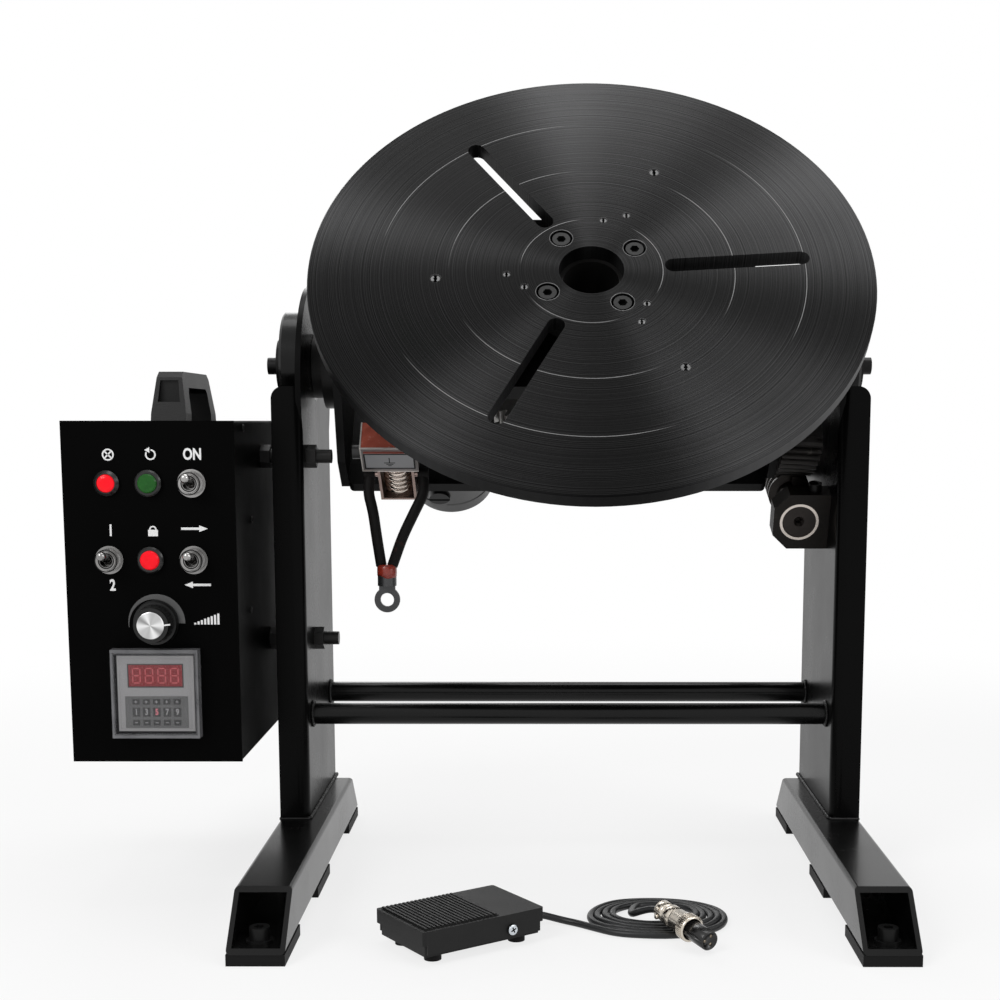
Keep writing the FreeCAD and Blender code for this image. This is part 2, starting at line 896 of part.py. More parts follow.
lower = turned("Z", [
    ("-baseTop", "spindle + 2"),
    ("-baseTop", "lowerHousing"),
    ("-baseTop + 8", "lowerHousing"),
    ("-baseTop + 10", "bearing + 6"),
    ("-baseTop + lowerHousingHeight", "bearing + 6"),
    ("-baseTop + lowerHousingHeight", "bearing"),
    ("-baseTop + lowerHousingHeight - bearingWidth", "bearing"),
    ("-baseTop + lowerHousingHeight - bearingWidth", "spindle + 2"),
])
seat(lower, "lower_housing", "spindle")


def bearingRing(low):
    """A ball bearing as one closed ring with a groove between its races on both faces."""
    mid = "(spindle + runGap + bearing) / 2"
    return turned("Z", [
        (low, "spindle + runGap"),
        (low, mid + " - 3"),
        (low + " + 1", mid + " - 2.5"),
        (low + " + 1", mid + " + 2.5"),
        (low, mid + " + 3"),
        (low, "bearing"),
        (low + " + bearingWidth", "bearing"),
        (low + " + bearingWidth", mid + " + 3"),
        (low + " + bearingWidth - 1", mid + " + 2.5"),
        (low + " + bearingWidth - 1", mid + " - 2.5"),
        (low + " + bearingWidth", mid + " - 3"),
        (low + " + bearingWidth", "spindle + runGap"),
    ])


seat(group([bearingRing("plateTop - bearingPlate"),
            bearingRing("-baseTop + lowerHousingHeight - bearingWidth")]),
     "spindle_bearings", "spindle")

# Trunnion shafts: the left flange sits outside its ear, the right one inside.
leftShaft = turned("X", [
    ("-cradleLeft + earThickness", "0"),
    ("-cradleLeft + earThickness", "trunnionShoulder"),
    ("-cradleLeft", "trunnionShoulder"),
    ("-cradleLeft", "trunnionFlange"),
    ("-cradleLeft - trunnionFlangeThickness", "trunnionFlange"),
    ("-cradleLeft - trunnionFlangeThickness", "trunnionShoulder + 3"),
    ("-frameGap / 2 + fitGap", "trunnionShoulder + 3"),
    ("-frameGap / 2 + fitGap", "trunnion"),
    ("-frameGap / 2 - sheet - housingLength - fitGap", "trunnion"),
    ("-frameGap / 2 - sheet - housingLength - fitGap", "0"),
])
rightShaft = turned("X", [
    ("cradleRight - earThickness - trunnionFlangeThickness", "0"),
    ("cradleRight - earThickness - trunnionFlangeThickness", "trunnionFlange"),
    ("cradleRight - earThickness", "trunnionFlange"),
    ("cradleRight - earThickness", "trunnionShoulder"),
    ("frameGap / 2 - fitGap", "trunnionShoulder"),
    ("frameGap / 2 - fitGap", "trunnion"),
    ("frameGap / 2 + sheet + housingLength + fitGap", "trunnion"),
    ("frameGap / 2 + sheet + housingLength + fitGap", "0"),
])
seat(group([leftShaft, rightShaft]), "trunnion_shafts", "tilt")

caps = []
for side, axis in (("-", "-X"), ("+", "X")):
    disc = rod(axis, side + "capStart", "0", "0", "endCap", "endCapThickness")
    head = rod(axis, "%s(capStart + endCapThickness)" % side, "0", "0",
               "endBolt * headRatio", "endBolt * 2.2")
    socket = hexagon(axis, "%s(capStart + endCapThickness + endBolt)" % side, "0", "0",
                     "endBolt * socketRatio", "endBolt * 1.3")
    caps.append(cut(fuse(disc, head), socket))
seat(group(caps), "trunnion_caps", "tilt")


# ---------------------------------------------------------------- gears

def toothPoint(radius, angle):
    return FreeCAD.Vector(radius * math.cos(angle), radius * math.sin(angle), 0)


def gearRing(module, teeth, backlash, phase):
    """The outline of an involute spur gear as a closed wire in the XY plane."""
    pitch = module * teeth / 2
    pressure = math.radians(20)
    base = pitch * math.cos(pressure)
    root = pitch - 1.25 * module
    tip = pitch + module
    half = math.pi / (2 * teeth) - backlash / pitch
    involute = math.tan(pressure) - pressure
    points = []
    for tooth in range(teeth):
        middle = phase + tooth * 2 * math.pi / teeth
        flank = []
        for radius in (max(root, base), pitch, tip):
            turn = math.acos(base / radius) if radius > base else 0
            flank.append((radius, half + involute - (math.tan(turn) - turn)))
        if root < base:
            flank.insert(0, (root, flank[0][1]))
        points += [toothPoint(radius, middle - angle) for radius, angle in flank]
        points += [toothPoint(radius, middle + angle) for radius, angle in reversed(flank)]
    return Part.makePolygon(points + points[:1])


def spurGear(module, teeth, backlash, phase, low, width):
    ring = gearRing(module, teeth, backlash, phase)
    ring.translate(FreeCAD.Vector(0, 0, low))
    return Part.Face(ring).extrude(FreeCAD.Vector(0, 0, width))


def drum(radius, low, length):
    return Part.makeCylinder(radius, length, FreeCAD.Vector(0, 0, low))


low = value("gearLow")
width = value("gearWidth")
gear = spurGear(value("gearModule"), int(value("gearTeeth")), value("gearBacklash"), 0, low, width)
hub = drum(value("gearHub"), low - value("gearHubDrop"), value("gearHubDrop") + 1)
gear = gear.fuse(hub).cut(drum(value("spindle + runGap / 2"), low - 50, 100)).removeSplitter()
feature("spindle_gear", gear, "spindle")

# The pinion's tooth space faces the gear, whose tooth lies on the line of centres.
teeth = int(value("pinionTeeth"))
pinion = spurGear(value("gearModule"), teeth, value("gearBacklash"), math.pi / teeth, low - 2, width + 4)
shaftLow = value("-baseTop + gearboxLength + gearboxBossHeight") - 10
pinion = pinion.fuse(drum(value("driveShaft"), shaftLow, low - 1 - shaftLow)).removeSplitter()
feature("drive_pinion", pinion, "pinion")

# Sector of the tilt drive: helical teeth at the worm's lead, a hub and a bore for the trunnion.
sectorPitch = value("wormModule * sectorTeeth / 2")
leadShift = value("wormModule / (2 * wormPitch)")
gapAngle = math.radians(value("-90 - tiltAngle + wormSlope"))
halfPitch = math.pi / value("sectorTeeth")
faceTurn = value("sectorWidth") / 2 * leadShift / sectorPitch


def sectorFace(offset, turn):
    """The wheel's outline across X at an offset, turned about X."""
    ring = gearRing(value("wormModule"), int(value("sectorTeeth")), 0.1, gapAngle + halfPitch)
    ring.rotate(FreeCAD.Vector(), FreeCAD.Vector(0, 0, 1), math.degrees(turn))
    ring.Placement = FreeCAD.Placement(
        FreeCAD.Vector(offset, 0, 0), FreeCAD.Rotation(FreeCAD.Vector(1, 1, 1), 120)
    ) * ring.Placement
    return ring


sectorX = value("cradleRight")
wheel = Part.makeLoft([sectorFace(sectorX, -faceTurn),
                       sectorFace(sectorX + value("sectorWidth"), faceTurn)], True, True)
reach = 2 * sectorPitch
wedge = [FreeCAD.Vector(sectorX - 1, 0, 0)]
first, last = math.radians(value("sectorFrom")), math.radians(value("sectorTo"))
for step in range(5):
    angle = first + (last - first) * step / 4
    wedge.append(FreeCAD.Vector(sectorX - 1, reach * math.cos(angle), reach * math.sin(angle)))
wedge = Part.Face(Part.makePolygon(wedge + wedge[:1])).extrude(FreeCAD.Vector(value("sectorWidth") + 2, 0, 0))
axis = FreeCAD.Vector(1, 0, 0)
hub = Part.makeCylinder(value("sectorHub"), value("sectorWidth"), FreeCAD.Vector(sectorX, 0, 0), axis)
bore = Part.makeCylinder(value("trunnionShoulder + boltGap"), 100, FreeCAD.Vector(sectorX - 5, 0, 0), axis)
sector = wheel.common(wedge).fuse(hub).cut(bore).removeSplitter()
feature("worm_sector", sector, "tilt")


def wormShape():
    """A right-hand worm on its shaft, along Y, with a thread crest at Y = 0 on its +Z side."""
    pitch = math.pi * value("wormModule")
    core = value("wormPitch - 1.25 * wormModule")
    crest = value("wormPitch + wormModule")
    slope = math.tan(math.radians(20))
    mid = pitch / 4 - value("wormBacklash")
    sink = 0.4
    rootHalf = mid + (value("wormPitch") - core + sink) * slope
    crestHalf = mid - value("wormModule") * slope
    count = 2 * round(value("wormThread") / 2 / pitch)
    start = -count / 2 * pitch
    helix = Part.makeHelix(pitch, count * pitch, value("wormPitch"))
    helix.translate(FreeCAD.Vector(0, 0, start))
    corners = [
        FreeCAD.Vector(core - sink, 0, start - rootHalf),
        FreeCAD.Vector(crest, 0, start - crestHalf),
        FreeCAD.Vector(crest, 0, start + crestHalf),
        FreeCAD.Vector(core - sink, 0, start + rootHalf),
    ]
    sweep = Part.BRepOffsetAPI.MakePipeShell(Part.Wire(helix.Edges))
    sweep.setFrenetMode(True)
    sweep.add(Part.makePolygon(corners + corners[:1]))
    sweep.build()
    sweep.makeSolid()
    thread = sweep.shape()
    body = Part.makeCylinder(core, (count + 1.2) * pitch, FreeCAD.Vector(0, 0, start - 0.6 * pitch))
    worm = body.fuse(thread)
    front = value("-blockNear - blockLength + 1")
    shaft = Part.makeCylinder(value("wormShaft"), value("handwheelReach + 6") - front,
                              FreeCAD.Vector(0, 0, front))
    worm = worm.fuse(shaft)
    journal = value("wormJournal")
    for low in (front, value("blockNear - 1")):
        worm = worm.fuse(Part.makeCylinder(journal, value("blockLength"), FreeCAD.Vector(0, 0, low)))
    hole = value("centreHole")
    worm = worm.cut(Part.makeCylinder(hole, 3 * hole, FreeCAD.Vector(0, 0, front)))
    worm = worm.cut(Part.makeCone(1.8 * hole, hole, hole, FreeCAD.Vector(0, 0, front)))
    # Z becomes Y, and X becomes Z, so that the thread that starts on X lies on Z.
    worm.rotate(FreeCAD.Vector(), FreeCAD.Vector(1, 1, 1), 240)
    return worm


feature("worm", wormShape(), "worm")


# ---------------------------------------------------------------- table

table = newBody()
disc = sketch(table, "XY", "faceRise")
circle(disc, "0", "0", "table")
circle(disc, "0", "0", "tableBore")
pad(table, disc, "tableThickness", back=True)
soften(table, "1", lambda edge: edge.Curve.TypeId == "Part::GeomCircle" and (
    near(edge.Curve.Radius, "table")), "Chamfer")
doc.recompute()


def polar(circleText, angleText):
    return ("%s * cos(%s)" % (circleText, angleText), "%s * sin(%s)" % (circleText, angleText))


bores = sketch(table, "XY", "faceRise")
for index in range(4):
    x, y = polar("spindleCircle", "spindleBoltTurn + %d" % (90 * index))
    circle(bores, x, y, "spindleBolt + boltGap")
for index in range(3):
    for ring, turn, radius in (
        ("holeCircle", 75, "smallHole"),
        ("outerHoleCircle", 60, "smallHole"),
        ("farHoleCircle", 60, "largeHole"),
    ):
        x, y = polar(ring, "slotTurn + %d" % (turn + 120 * index))
        circle(bores, x, y, radius)
pocket(table, bores, "3 * tableThickness", middle=True)
seats = sketch(table, "XY", "faceRise")
for index in range(4):
    x, y = polar("spindleCircle", "spindleBoltTurn + %d" % (90 * index))
    circle(seats, x, y, "counterbore")
pocket(table, seats, "counterboreDepth")

slots = []
for index in range(int(value("slotCount"))):
    turn = "slotTurn + %d" % (120 * index)
    ends = [rod("Z", *polar("(slotInner + slotWidth / 2)", turn), "0", "slotWidth / 2", "2 * faceRise"),
            rod("Z", *polar("(slotOuter - slotWidth / 2)", turn), "0", "slotWidth / 2", "2 * faceRise")]
    middle = doc.addObject("Part::Box", "SlotMiddle")
    tie(middle, "Length", "slotOuter - slotInner - slotWidth")
    tie(middle, "Width", "slotWidth")
    tie(middle, "Height", "2 * faceRise")
    tie(middle, "Placement.Rotation.Angle", turn)
    inner = "(slotInner + slotWidth / 2)"
    at(middle, "%s * cos(%s) + slotWidth / 2 * sin(%s)" % (inner, turn, turn),
       "%s * sin(%s) - slotWidth / 2 * cos(%s)" % (inner, turn, turn))
    slots += ends + [middle]
seat(cut(table, *slots), "table", "spindle")

shaft = turned("Z", [
    ("-spindleEnd", "spindleHole"),
    ("-spindleEnd", "spindle"),
    ("faceRise - tableThickness - spindleFlangeThickness", "spindle"),
    ("faceRise - tableThickness - spindleFlangeThickness", "spindleFlange"),
    ("faceRise - tableThickness", "spindleFlange"),
    ("faceRise - tableThickness", "spindleHole"),
])
tapped = sketch(shaft, "XY", "faceRise - tableThickness")
for index in range(4):
    circle(tapped, *polar("spindleCircle", "spindleBoltTurn + %d" % (90 * index)), "spindleBolt + boltGap")
pocket(shaft, tapped, "spindleFlangeThickness - 2")
seat(shaft, "spindle", "spindle")

screws = []
for index in range(4):
    x, y = polar("spindleCircle", "spindleBoltTurn + %d" % (90 * index))
    screws.append(capScrew("Z", x, y, "faceRise - counterboreDepth", "spindleBolt",
                           "tableThickness - counterboreDepth + spindleFlangeThickness - 3"))
seat(group(screws), "table_screws", "spindle")


# ---------------------------------------------------------------- table drive motor

gearbox = fuse(rod("Z", "0", "0", "-baseTop", "motor", "gearboxLength"),
               rod("Z", "0", "0", "-baseTop + gearboxLength - 1", "gearboxBoss", "gearboxBossHeight + 1"))
gearbox = cut(gearbox, rod("Z", "0", "0", "-baseTop + gearboxLength - 12", "driveShaft + runGap", "40"))
seat(gearbox, "gearbox", "pinion")

can = turned("Z", [
    ("motorTop", "0"),
    ("motorTop", "motor"),
    ("motorTop - motorLength + 14", "motor"),
    ("motorTop - motorLength + 13", "motor - 1"),
    ("motorTop - motorLength + 12", "motor"),
    ("motorTop - motorLength + 3", "motor"),
    ("motorTop - motorLength", "motor - 3"),
    ("motorTop - motorLength", "9"),
    ("motorTop - motorLength - 2", "9"),
    ("motorTop - motorLength - 2", "0"),
])
brush = rod("-Y", "-brushCapAside", "-motor + 3", "-baseTop - basePlate - brushCapDrop",
            "brushCap", "brushCapHeight")
brush = cut(brush, block("-brushCapAside - brushCap", "-motor + 3 - brushCapHeight - 1",
                         "-baseTop - basePlate - brushCapDrop - 1", "2 * brushCap", "2", "2"))
brush = cut(brush, rod("Z", "0", "0", "-baseTop - basePlate - motorLength", "motor", "motorLength"))
seat(group([can, brush]), "motor", "pinion")


# ---------------------------------------------------------------- handwheel

def handwheelShape():
    """Rim, spokes, hub and a crank knob, about the worm's axis."""
    reach = value("handwheelReach")
    rim = value("handwheelRim")
    radius = value("handwheel") - rim
    axis = FreeCAD.Vector(0, 1, 0)
    wheel = Part.makeTorus(radius, rim, FreeCAD.Vector(0, reach + 9, 0), axis)
    hub = Part.makeCylinder(value("handwheelHub"), 18, FreeCAD.Vector(0, reach, 0), axis)
    wheel = wheel.fuse(hub)
    for index in range(int(value("handwheelSpokes"))):
        angle = math.radians(90 + index * 360 / value("handwheelSpokes"))
        out = FreeCAD.Vector(math.cos(angle), 0, math.sin(angle))
        wheel = wheel.fuse(Part.makeCylinder(3.5, radius, FreeCAD.Vector(0, reach + 9, 0), out))
    foot = FreeCAD.Vector(0, reach + 9, radius)
    knob = Part.makeCone(value("crankKnob") - 2, value("crankKnob"), value("crankKnobLength"), foot, axis)
    wheel = wheel.fuse(knob)
    bore = Part.makeCylinder(value("wormShaft + runGap / 2"), 6.5, FreeCAD.Vector(0, reach - 0.5, 0), axis)
    return wheel.cut(bore).removeSplitter()


feature("handwheel", handwheelShape(), "worm")


# ---------------------------------------------------------------- earth terminal

earthBlock = block("-earthX - earthBlockLength / 2", "-earthFront", "-earthBlockLow",
                   "earthBlockLength", "earthBlockDepth", "earthBlockHeight")
stub = rod("-X", "-earthX - earthBlockLength / 2 + 1", "-earthFront + 8", "-earthBlockLow + 12",
           "stubRadius", "stubLength + 1")
earthLabel = block("-earthX - earthPlateLength / 2", "-earthFront - earthPlate",
                   "-earthBlockLow + (earthBlockHeight - earthPlateHeight) / 2",
                   "earthPlateLength", "earthPlate", "earthPlateHeight")
seat(group([fuse(earthBlock, stub), earthLabel]), "earth_block", "tilt")

bracketLow = "-baseTop"
bracket = fuse(
    block("-bracketX - bracketWidth / 2", "-earthFront", bracketLow,
          "bracketWidth", "bracketDepth", "bracketSheet"),
    block("-bracketX - bracketWidth / 2", "-earthFront", bracketLow,
          "bracketSheet", "bracketDepth", "baseTop - earthBlockLow"),
    block("-bracketX + bracketWidth / 2 - bracketSheet", "-earthFront", bracketLow,
          "bracketSheet", "bracketDepth", "baseTop - earthBlockLow"),
    rod("-X", "-bracketX - bracketWidth / 2 + bracketSheet", "-leadPinFront", "-leadPinLow",
        "leadPin", "leadPinLength"),
    rod("X", "-bracketX + bracketWidth / 2 - bracketSheet", "-leadPinFront", "-leadPinLow",
        "leadPin", "leadPinLength"),
)
seat(bracket, "earth_bracket", "tilt")


def springShape():
    """An open coil spring whose end turns lie within its length."""
    wire = value("springWire")
    length = value("baseTop - earthBlockLow - bracketSheet") - 2 * wire
    turnCount = value("springTurns")
    helix = Part.makeHelix(length / turnCount, length, value("springRadius"))
    ring = Part.Wire(Part.makeCircle(wire, FreeCAD.Vector(value("springRadius"), 0, 0),
                                     FreeCAD.Vector(0, 1, 0)))
    sweep = Part.BRepOffsetAPI.MakePipeShell(Part.Wire(helix.Edges))
    sweep.setFrenetMode(True)
    sweep.add(ring)
    sweep.build()
    sweep.makeSolid()
    spring = sweep.shape()
    spring.translate(FreeCAD.Vector(-value("bracketX"), value("-earthFront + bracketDepth / 2"),
                                    value("bracketSheet - baseTop") + wire))
    return spring


feature("earth_spring", springShape(), "tilt")


def tubeAlong(points, radius, label):
    """A cord's solid: straight runs joined by tangent arcs, as round as the runs allow."""
    corners = [FreeCAD.Vector(*point) for point in points]
    edges = []
    at_ = corners[0]
    radii = []
    for before, here, after in zip(corners, corners[1:], corners[2:]):
        back = (before - here).normalize()
        ahead = (after - here).normalize()
        half = (math.pi - back.getAngle(ahead)) / 2
        shorter = min((before - here).Length, (after - here).Length)
        trim = 0.45 * shorter
        radii.append(trim / math.tan(half))
        first = here + back * trim
        last = here + ahead * trim
        out = (back + ahead).normalize()
        centre = here + out * (radii[-1] / math.cos(half))
        middle = centre - out * radii[-1]
        edges.append(Part.LineSegment(at_, first).toShape())
        edges.append(Part.Arc(first, middle, last).toShape())
        at_ = last
    edges.append(Part.LineSegment(at_, corners[-1]).toShape())
    path = Part.Wire(edges)
    section = Part.Wire(Part.makeCircle(radius, corners[0], corners[1] - corners[0]))
    tube = path.makePipeShell([section], True, True)
    share = tube.Volume / (math.pi * radius ** 2 * path.Length)
    print("%s: length %.1f, volume share %.4f, radii %s" % (
        label, path.Length, share, " ".join("%.0f" % r for r in radii)))
    return tube


def fromTilt(v, w):
    """Where a point of the tilted cradle stands, along Y and up Z, from the stand's middle."""
    tilt = math.radians(value("tiltAngle"))
    return (v * math.cos(tilt) - w * math.sin(tilt),
            v * math.sin(tilt) + w * math.cos(tilt) + value("pivotHeight"))


leadY, leadZ = fromTilt(-value("leadPinFront"), -value("leadPinLow"))
leads = []
axis = FreeCAD.Vector(1, 0, 0)
drop = value("leadBottom")
leadForward = value("leadForward")
for sign in (-1, 1):
    top = -value("bracketX") + sign * (value("bracketWidth / 2") + 6.4)
    end = -value("lugX") + sign * (value("lead") + 0.15)
    route = [
        (top, leadY, leadZ - 2),
        (top + sign * 0.8, leadY - 4, leadZ - 14),
        (top - sign * 1.5 + (end - top) * 0.2, leadY - 8.5, leadZ - 28),
        (end + (top - end) * 0.35, leadY - 8, leadZ - 46),
        (end, leadY - leadForward, leadZ - drop),
    ]
    tube = tubeAlong(route, value("lead"), "earth lead")
    eye = Part.makeCylinder(value("leadEye"), 8, FreeCAD.Vector(top - 4, leadY, leadZ), axis)
    hole = Part.makeCylinder(value("leadPin + runGap"), 12, FreeCAD.Vector(top - 6, leadY, leadZ), axis)
    leads.append(tube.fuse(eye).cut(hole))
feature("earth_leads", Part.makeCompound(leads), "floor")

lugTop = leadZ - drop
lugY = leadY - leadForward
x = -value("lugX")
up = FreeCAD.Vector(0, 0, 1)
front = FreeCAD.Vector(0, 1, 0)
barrel = Part.makeCylinder(value("lugBarrel"), value("lugBarrelLength"),
                           FreeCAD.Vector(x, lugY, lugTop - value("lugBarrelLength")), up)
ringZ = lugTop - value("lugBarrelLength + lugRing") - 1
palm = Part.makeCylinder(value("lugRing"), value("lugPalm"),
                         FreeCAD.Vector(x, lugY - value("lugPalm / 2"), ringZ), front)
neck = Part.makeBox(value("2 * lugBarrel - 2"), value("lugPalm"), value("lugRing") + 4,
                    FreeCAD.Vector(x - value("lugBarrel - 1"), lugY - value("lugPalm / 2"), ringZ))
hole = Part.makeCylinder(value("lugHole"), 20, FreeCAD.Vector(x, lugY - 10, ringZ), front)
feature("earth_lug", barrel.fuse(palm).fuse(neck).cut(hole).removeSplitter(), "floor")


# ---------------------------------------------------------------- control box



def ringBody(places, profile):
    """The same turned piece about Y at each place on the panel."""
    made = []
    for x, z in places:
        made.append(at(turned("Y", profile), x, "0", z))
    return made


lampPlace = ("-columnLeft", "rowTop")
resetPlace = ("0", "rowTop")
powerPlace = ("columnRight", "rowTop")
modePlace = ("-columnLeft", "rowMiddle")
lockPlace = ("0", "rowMiddle")
turnPlace = ("columnRight", "rowMiddle")
knobPlace = ("knobX", "knobZ")

panel = newBody()
outline = sketch(panel, "XZ", "-boxPanel")
polygon(outline, [
    ("-boxWidth / 2", "0"),
    ("boxWidth / 2", "0"),
    ("boxWidth / 2", "boxHeight"),
    ("-boxWidth / 2", "boxHeight"),
])
pad(panel, outline, "boxPanel")
holes = sketch(panel, "XZ", "0")
for place, radius in (
    (lampPlace, "lamp"),
    (resetPlace, "buttonBarrel"),
    (lockPlace, "buttonBarrel"),
    (powerPlace, "toggleBush"),
    (modePlace, "toggleBush"),
    (turnPlace, "toggleBush"),
    (knobPlace, "toggleBush - 1"),
):
    circle(holes, place[0], place[1], radius + " + boltGap")
half = "(timerBody / 2 + boltGap)"
polygon(holes, [
    ("timerX - " + half, "timerZ - " + half),
    ("timerX + " + half, "timerZ - " + half),
    ("timerX + " + half, "timerZ + " + half),
    ("timerX - " + half, "timerZ + " + half),
])
pocket(panel, holes, "3 * boxPanel", middle=True)
seat(panel, "box_panel", "box")

shell = newBody()
outline = sketch(shell, "XZ", "-boxPanel")
polygon(outline, [
    ("-boxWidth / 2", "0"),
    ("boxWidth / 2", "0"),
    ("boxWidth / 2", "boxHeight"),
    ("-boxWidth / 2", "boxHeight"),
])
pad(shell, outline, "boxDepth - boxPanel - boxSheet", back=True)
soften(shell, "2", lambda edge: along(edge, "Y"))
inside = sketch(shell, "XZ", "0")
polygon(inside, [
    ("-boxWidth / 2 + boxSheet", "boxSheet"),
    ("boxWidth / 2 - boxSheet", "boxSheet"),
    ("boxWidth / 2 - boxSheet", "boxHeight - boxSheet"),
    ("-boxWidth / 2 + boxSheet", "boxHeight - boxSheet"),
])
pocket(shell, inside, "3 * boxDepth", middle=True)
holes = sketch(shell, "YZ", "boxWidth / 2")
for y, z in studPlaces:
    circle(holes, "%s + boxFront" % y, "%s - boxBottom" % z, "stud + boltGap")
pocket(shell, holes, "3 * boxSheet", middle=True)
seat(shell, "box_shell", "box")

rear = newBody()
outline = sketch(rear, "XZ", "-boxDepth")
polygon(outline, [
    ("-boxWidth / 2", "0"),
    ("boxWidth / 2", "0"),
    ("boxWidth / 2", "boxHeight"),
    ("-boxWidth / 2", "boxHeight"),
])
pad(rear, outline, "boxSheet")
holes = sketch(rear, "XZ", "-boxDepth")
circle(holes, "socketX", "socketZ", "socketBarrel + boltGap")
polygon(holes, [
    ("-inletX - inletWidth / 2 - boltGap", "inletZ - inletHeight / 2 - boltGap"),
    ("-inletX + inletWidth / 2 + boltGap", "inletZ - inletHeight / 2 - boltGap"),
    ("-inletX + inletWidth / 2 + boltGap", "inletZ + inletHeight / 2 + boltGap"),
    ("-inletX - inletWidth / 2 - boltGap", "inletZ + inletHeight / 2 + boltGap"),
])
pocket(rear, holes, "3 * boxSheet", middle=True)
seat(rear, "box_rear_cover", "box")

inlet = fuse(
    block("-inletX - inletWidth / 2", "boxDepth - 24", "inletZ - inletHeight / 2",
          "inletWidth", "24", "inletHeight"),
    block("-inletX - inletWidth / 2 - 3", "boxDepth", "inletZ - inletHeight / 2 - 9",
          "inletWidth + 6", "3", "inletHeight + 18"),
)
inlet = cut(inlet, block("-inletX - inletWidth / 2 + 3", "boxDepth - 14", "inletZ - inletHeight / 2 + 5",
                         "inletWidth - 6", "18", "inletHeight - 10"))
socket = turned("Y", [
    ("boxDepth - 14", "socketBarrel - 2"),
    ("boxDepth - 14", "socketBarrel"),
    ("boxDepth", "socketBarrel"),
    ("boxDepth", "socketBarrel + 3"),
    ("boxDepth + 3", "socketBarrel + 3"),
    ("boxDepth + 3", "socketBarrel"),
    ("boxDepth + 9", "socketBarrel"),
    ("boxDepth + 9", "socketBarrel - 1.5"),
    ("boxDepth + 1", "socketBarrel - 1.5"),
    ("boxDepth + 1", "0"),
    ("boxDepth - 12", "0"),
    ("boxDepth - 12", "socketBarrel - 2"),
])
seat(group([inlet, at(socket, "socketX", "0", "socketZ")]), "rear_sockets", "box")

# Carrying handle: an arch with raked posts, each hollowed on its outer side.
handle = newBody()
arch = sketch(handle, "YZ", "-handleWidth / 2")
polygon(arch, [
    ("-handleLength / 2", "0"),
    ("-handleLength / 2 + 7", "handleHeight - 4"),
    ("-handleLength / 2 + 12", "handleHeight"),
    ("handleLength / 2 - 12", "handleHeight"),
    ("handleLength / 2 - 7", "handleHeight - 4"),
    ("handleLength / 2", "0"),
    ("handleLength / 2 - handlePost - 3", "0"),
    ("handleLength / 2 - handlePost - 6", "handleHeight - handleGrip - 3"),
    ("handleLength / 2 - handlePost - 9", "handleHeight - handleGrip"),
    ("-handleLength / 2 + handlePost + 9", "handleHeight - handleGrip"),
    ("-handleLength / 2 + handlePost + 6", "handleHeight - handleGrip - 3"),
    ("-handleLength / 2 + handlePost + 3", "0"),
])
pad(handle, arch, "handleWidth")
taperCut = sketch(handle, "XZ")
polygon(taperCut, [
    ("handleWidth / 2", "handleHeight + 1"),
    ("handleWidth / 2", "5"),
    ("handleWidth / 2 - 4", "handleHeight + 1"),
])
polygon(taperCut, [
    ("-handleWidth / 2", "handleHeight + 1"),
    ("-handleWidth / 2", "5"),
    ("-handleWidth / 2 + 4", "handleHeight + 1"),
])
pocket(handle, taperCut, "2 * handleLength", middle=True)
for lift, back in (("handleLength / 2", False), ("-handleLength / 2", True)):
    recess = sketch(handle, "XZ", lift)
    polygon(recess, [
        ("-handleWidth / 2 + handleRim", "handleFoot"),
        ("handleWidth / 2 - handleRim", "handleFoot"),
        ("handleWidth / 2 - handleRim - 1.5", "handleHeight - 6"),
        ("-handleWidth / 2 + handleRim + 1.5", "handleHeight - 6"),
    ])
    pocket(handle, recess, "handleHollow", back=back)
seat(group([at(handle, "handleX", "handleMiddle", "boxHeight")]), "box_handle", "box")

# Panel fittings.
lampBody = ringBody([lampPlace], [
    ("18", "0"), ("18", "lamp"), ("0", "lamp"), ("0", "lampRing"), ("-2", "lampRing"),
    ("-2", "lamp + 0.4"), ("-3.6", "lamp - 0.6"), ("-4.6", "lamp - 2.6"), ("-5", "0"),
])
seat(group(lampBody), "pilot_lamp", "box")

bezels = ringBody([resetPlace, lockPlace], [
    ("20", "buttonCap + buttonGap"), ("20", "buttonBarrel"), ("0", "buttonBarrel"),
    ("0", "buttonRing"), ("-2.5", "buttonRing"), ("-3.5", "buttonRing - 1"),
    ("-3.5", "buttonCap + buttonGap"),
])
seat(group(bezels), "button_bezels", "box")
capProfile = [
    ("10", "0"), ("10", "buttonCap"), ("-4.4", "buttonCap"), ("-5.2", "buttonCap - 0.8"), ("-5.4", "0"),
]
seat(group(ringBody([resetPlace], capProfile)), "reset_button", "box")
seat(group(ringBody([lockPlace], capProfile)), "lock_button", "box")

switches = []
for place in (powerPlace, modePlace, turnPlace):
    bush = at(turned("Y", [
        ("4", "0"), ("4", "toggleBush"), ("0", "toggleBush"), ("0", "toggleRing"),
        ("-1.2", "toggleRing"), ("-1.2", "toggleBush + 2.4"), ("-3.6", "toggleBush + 2.4"),
        ("-3.6", "toggleBush"), ("-toggleReach", "toggleBush"), ("-toggleReach", "toggleBore"),
        ("3", "toggleBore"), ("3", "0"),
    ]), place[0], "0", place[1])
    rearCase = block("%s - 8" % place[0], "3.5", "%s - 14" % place[1], "16", "22", "28")
    switches.append(fuse(bush, cut(rearCase, rod("Y", place[0], "-10", place[1], "toggleBush", "14"))))
switches.append(at(turned("Y", [
    ("16", "0"), ("16", "potBody"), ("boxPanel", "potBody"), ("boxPanel", "toggleBush - 1"),
    ("-1.5", "toggleBush - 1"), ("-1.5", "0"),
]), *(knobPlace[0], "0", knobPlace[1])))
seat(group(switches), "panel_switches", "box")


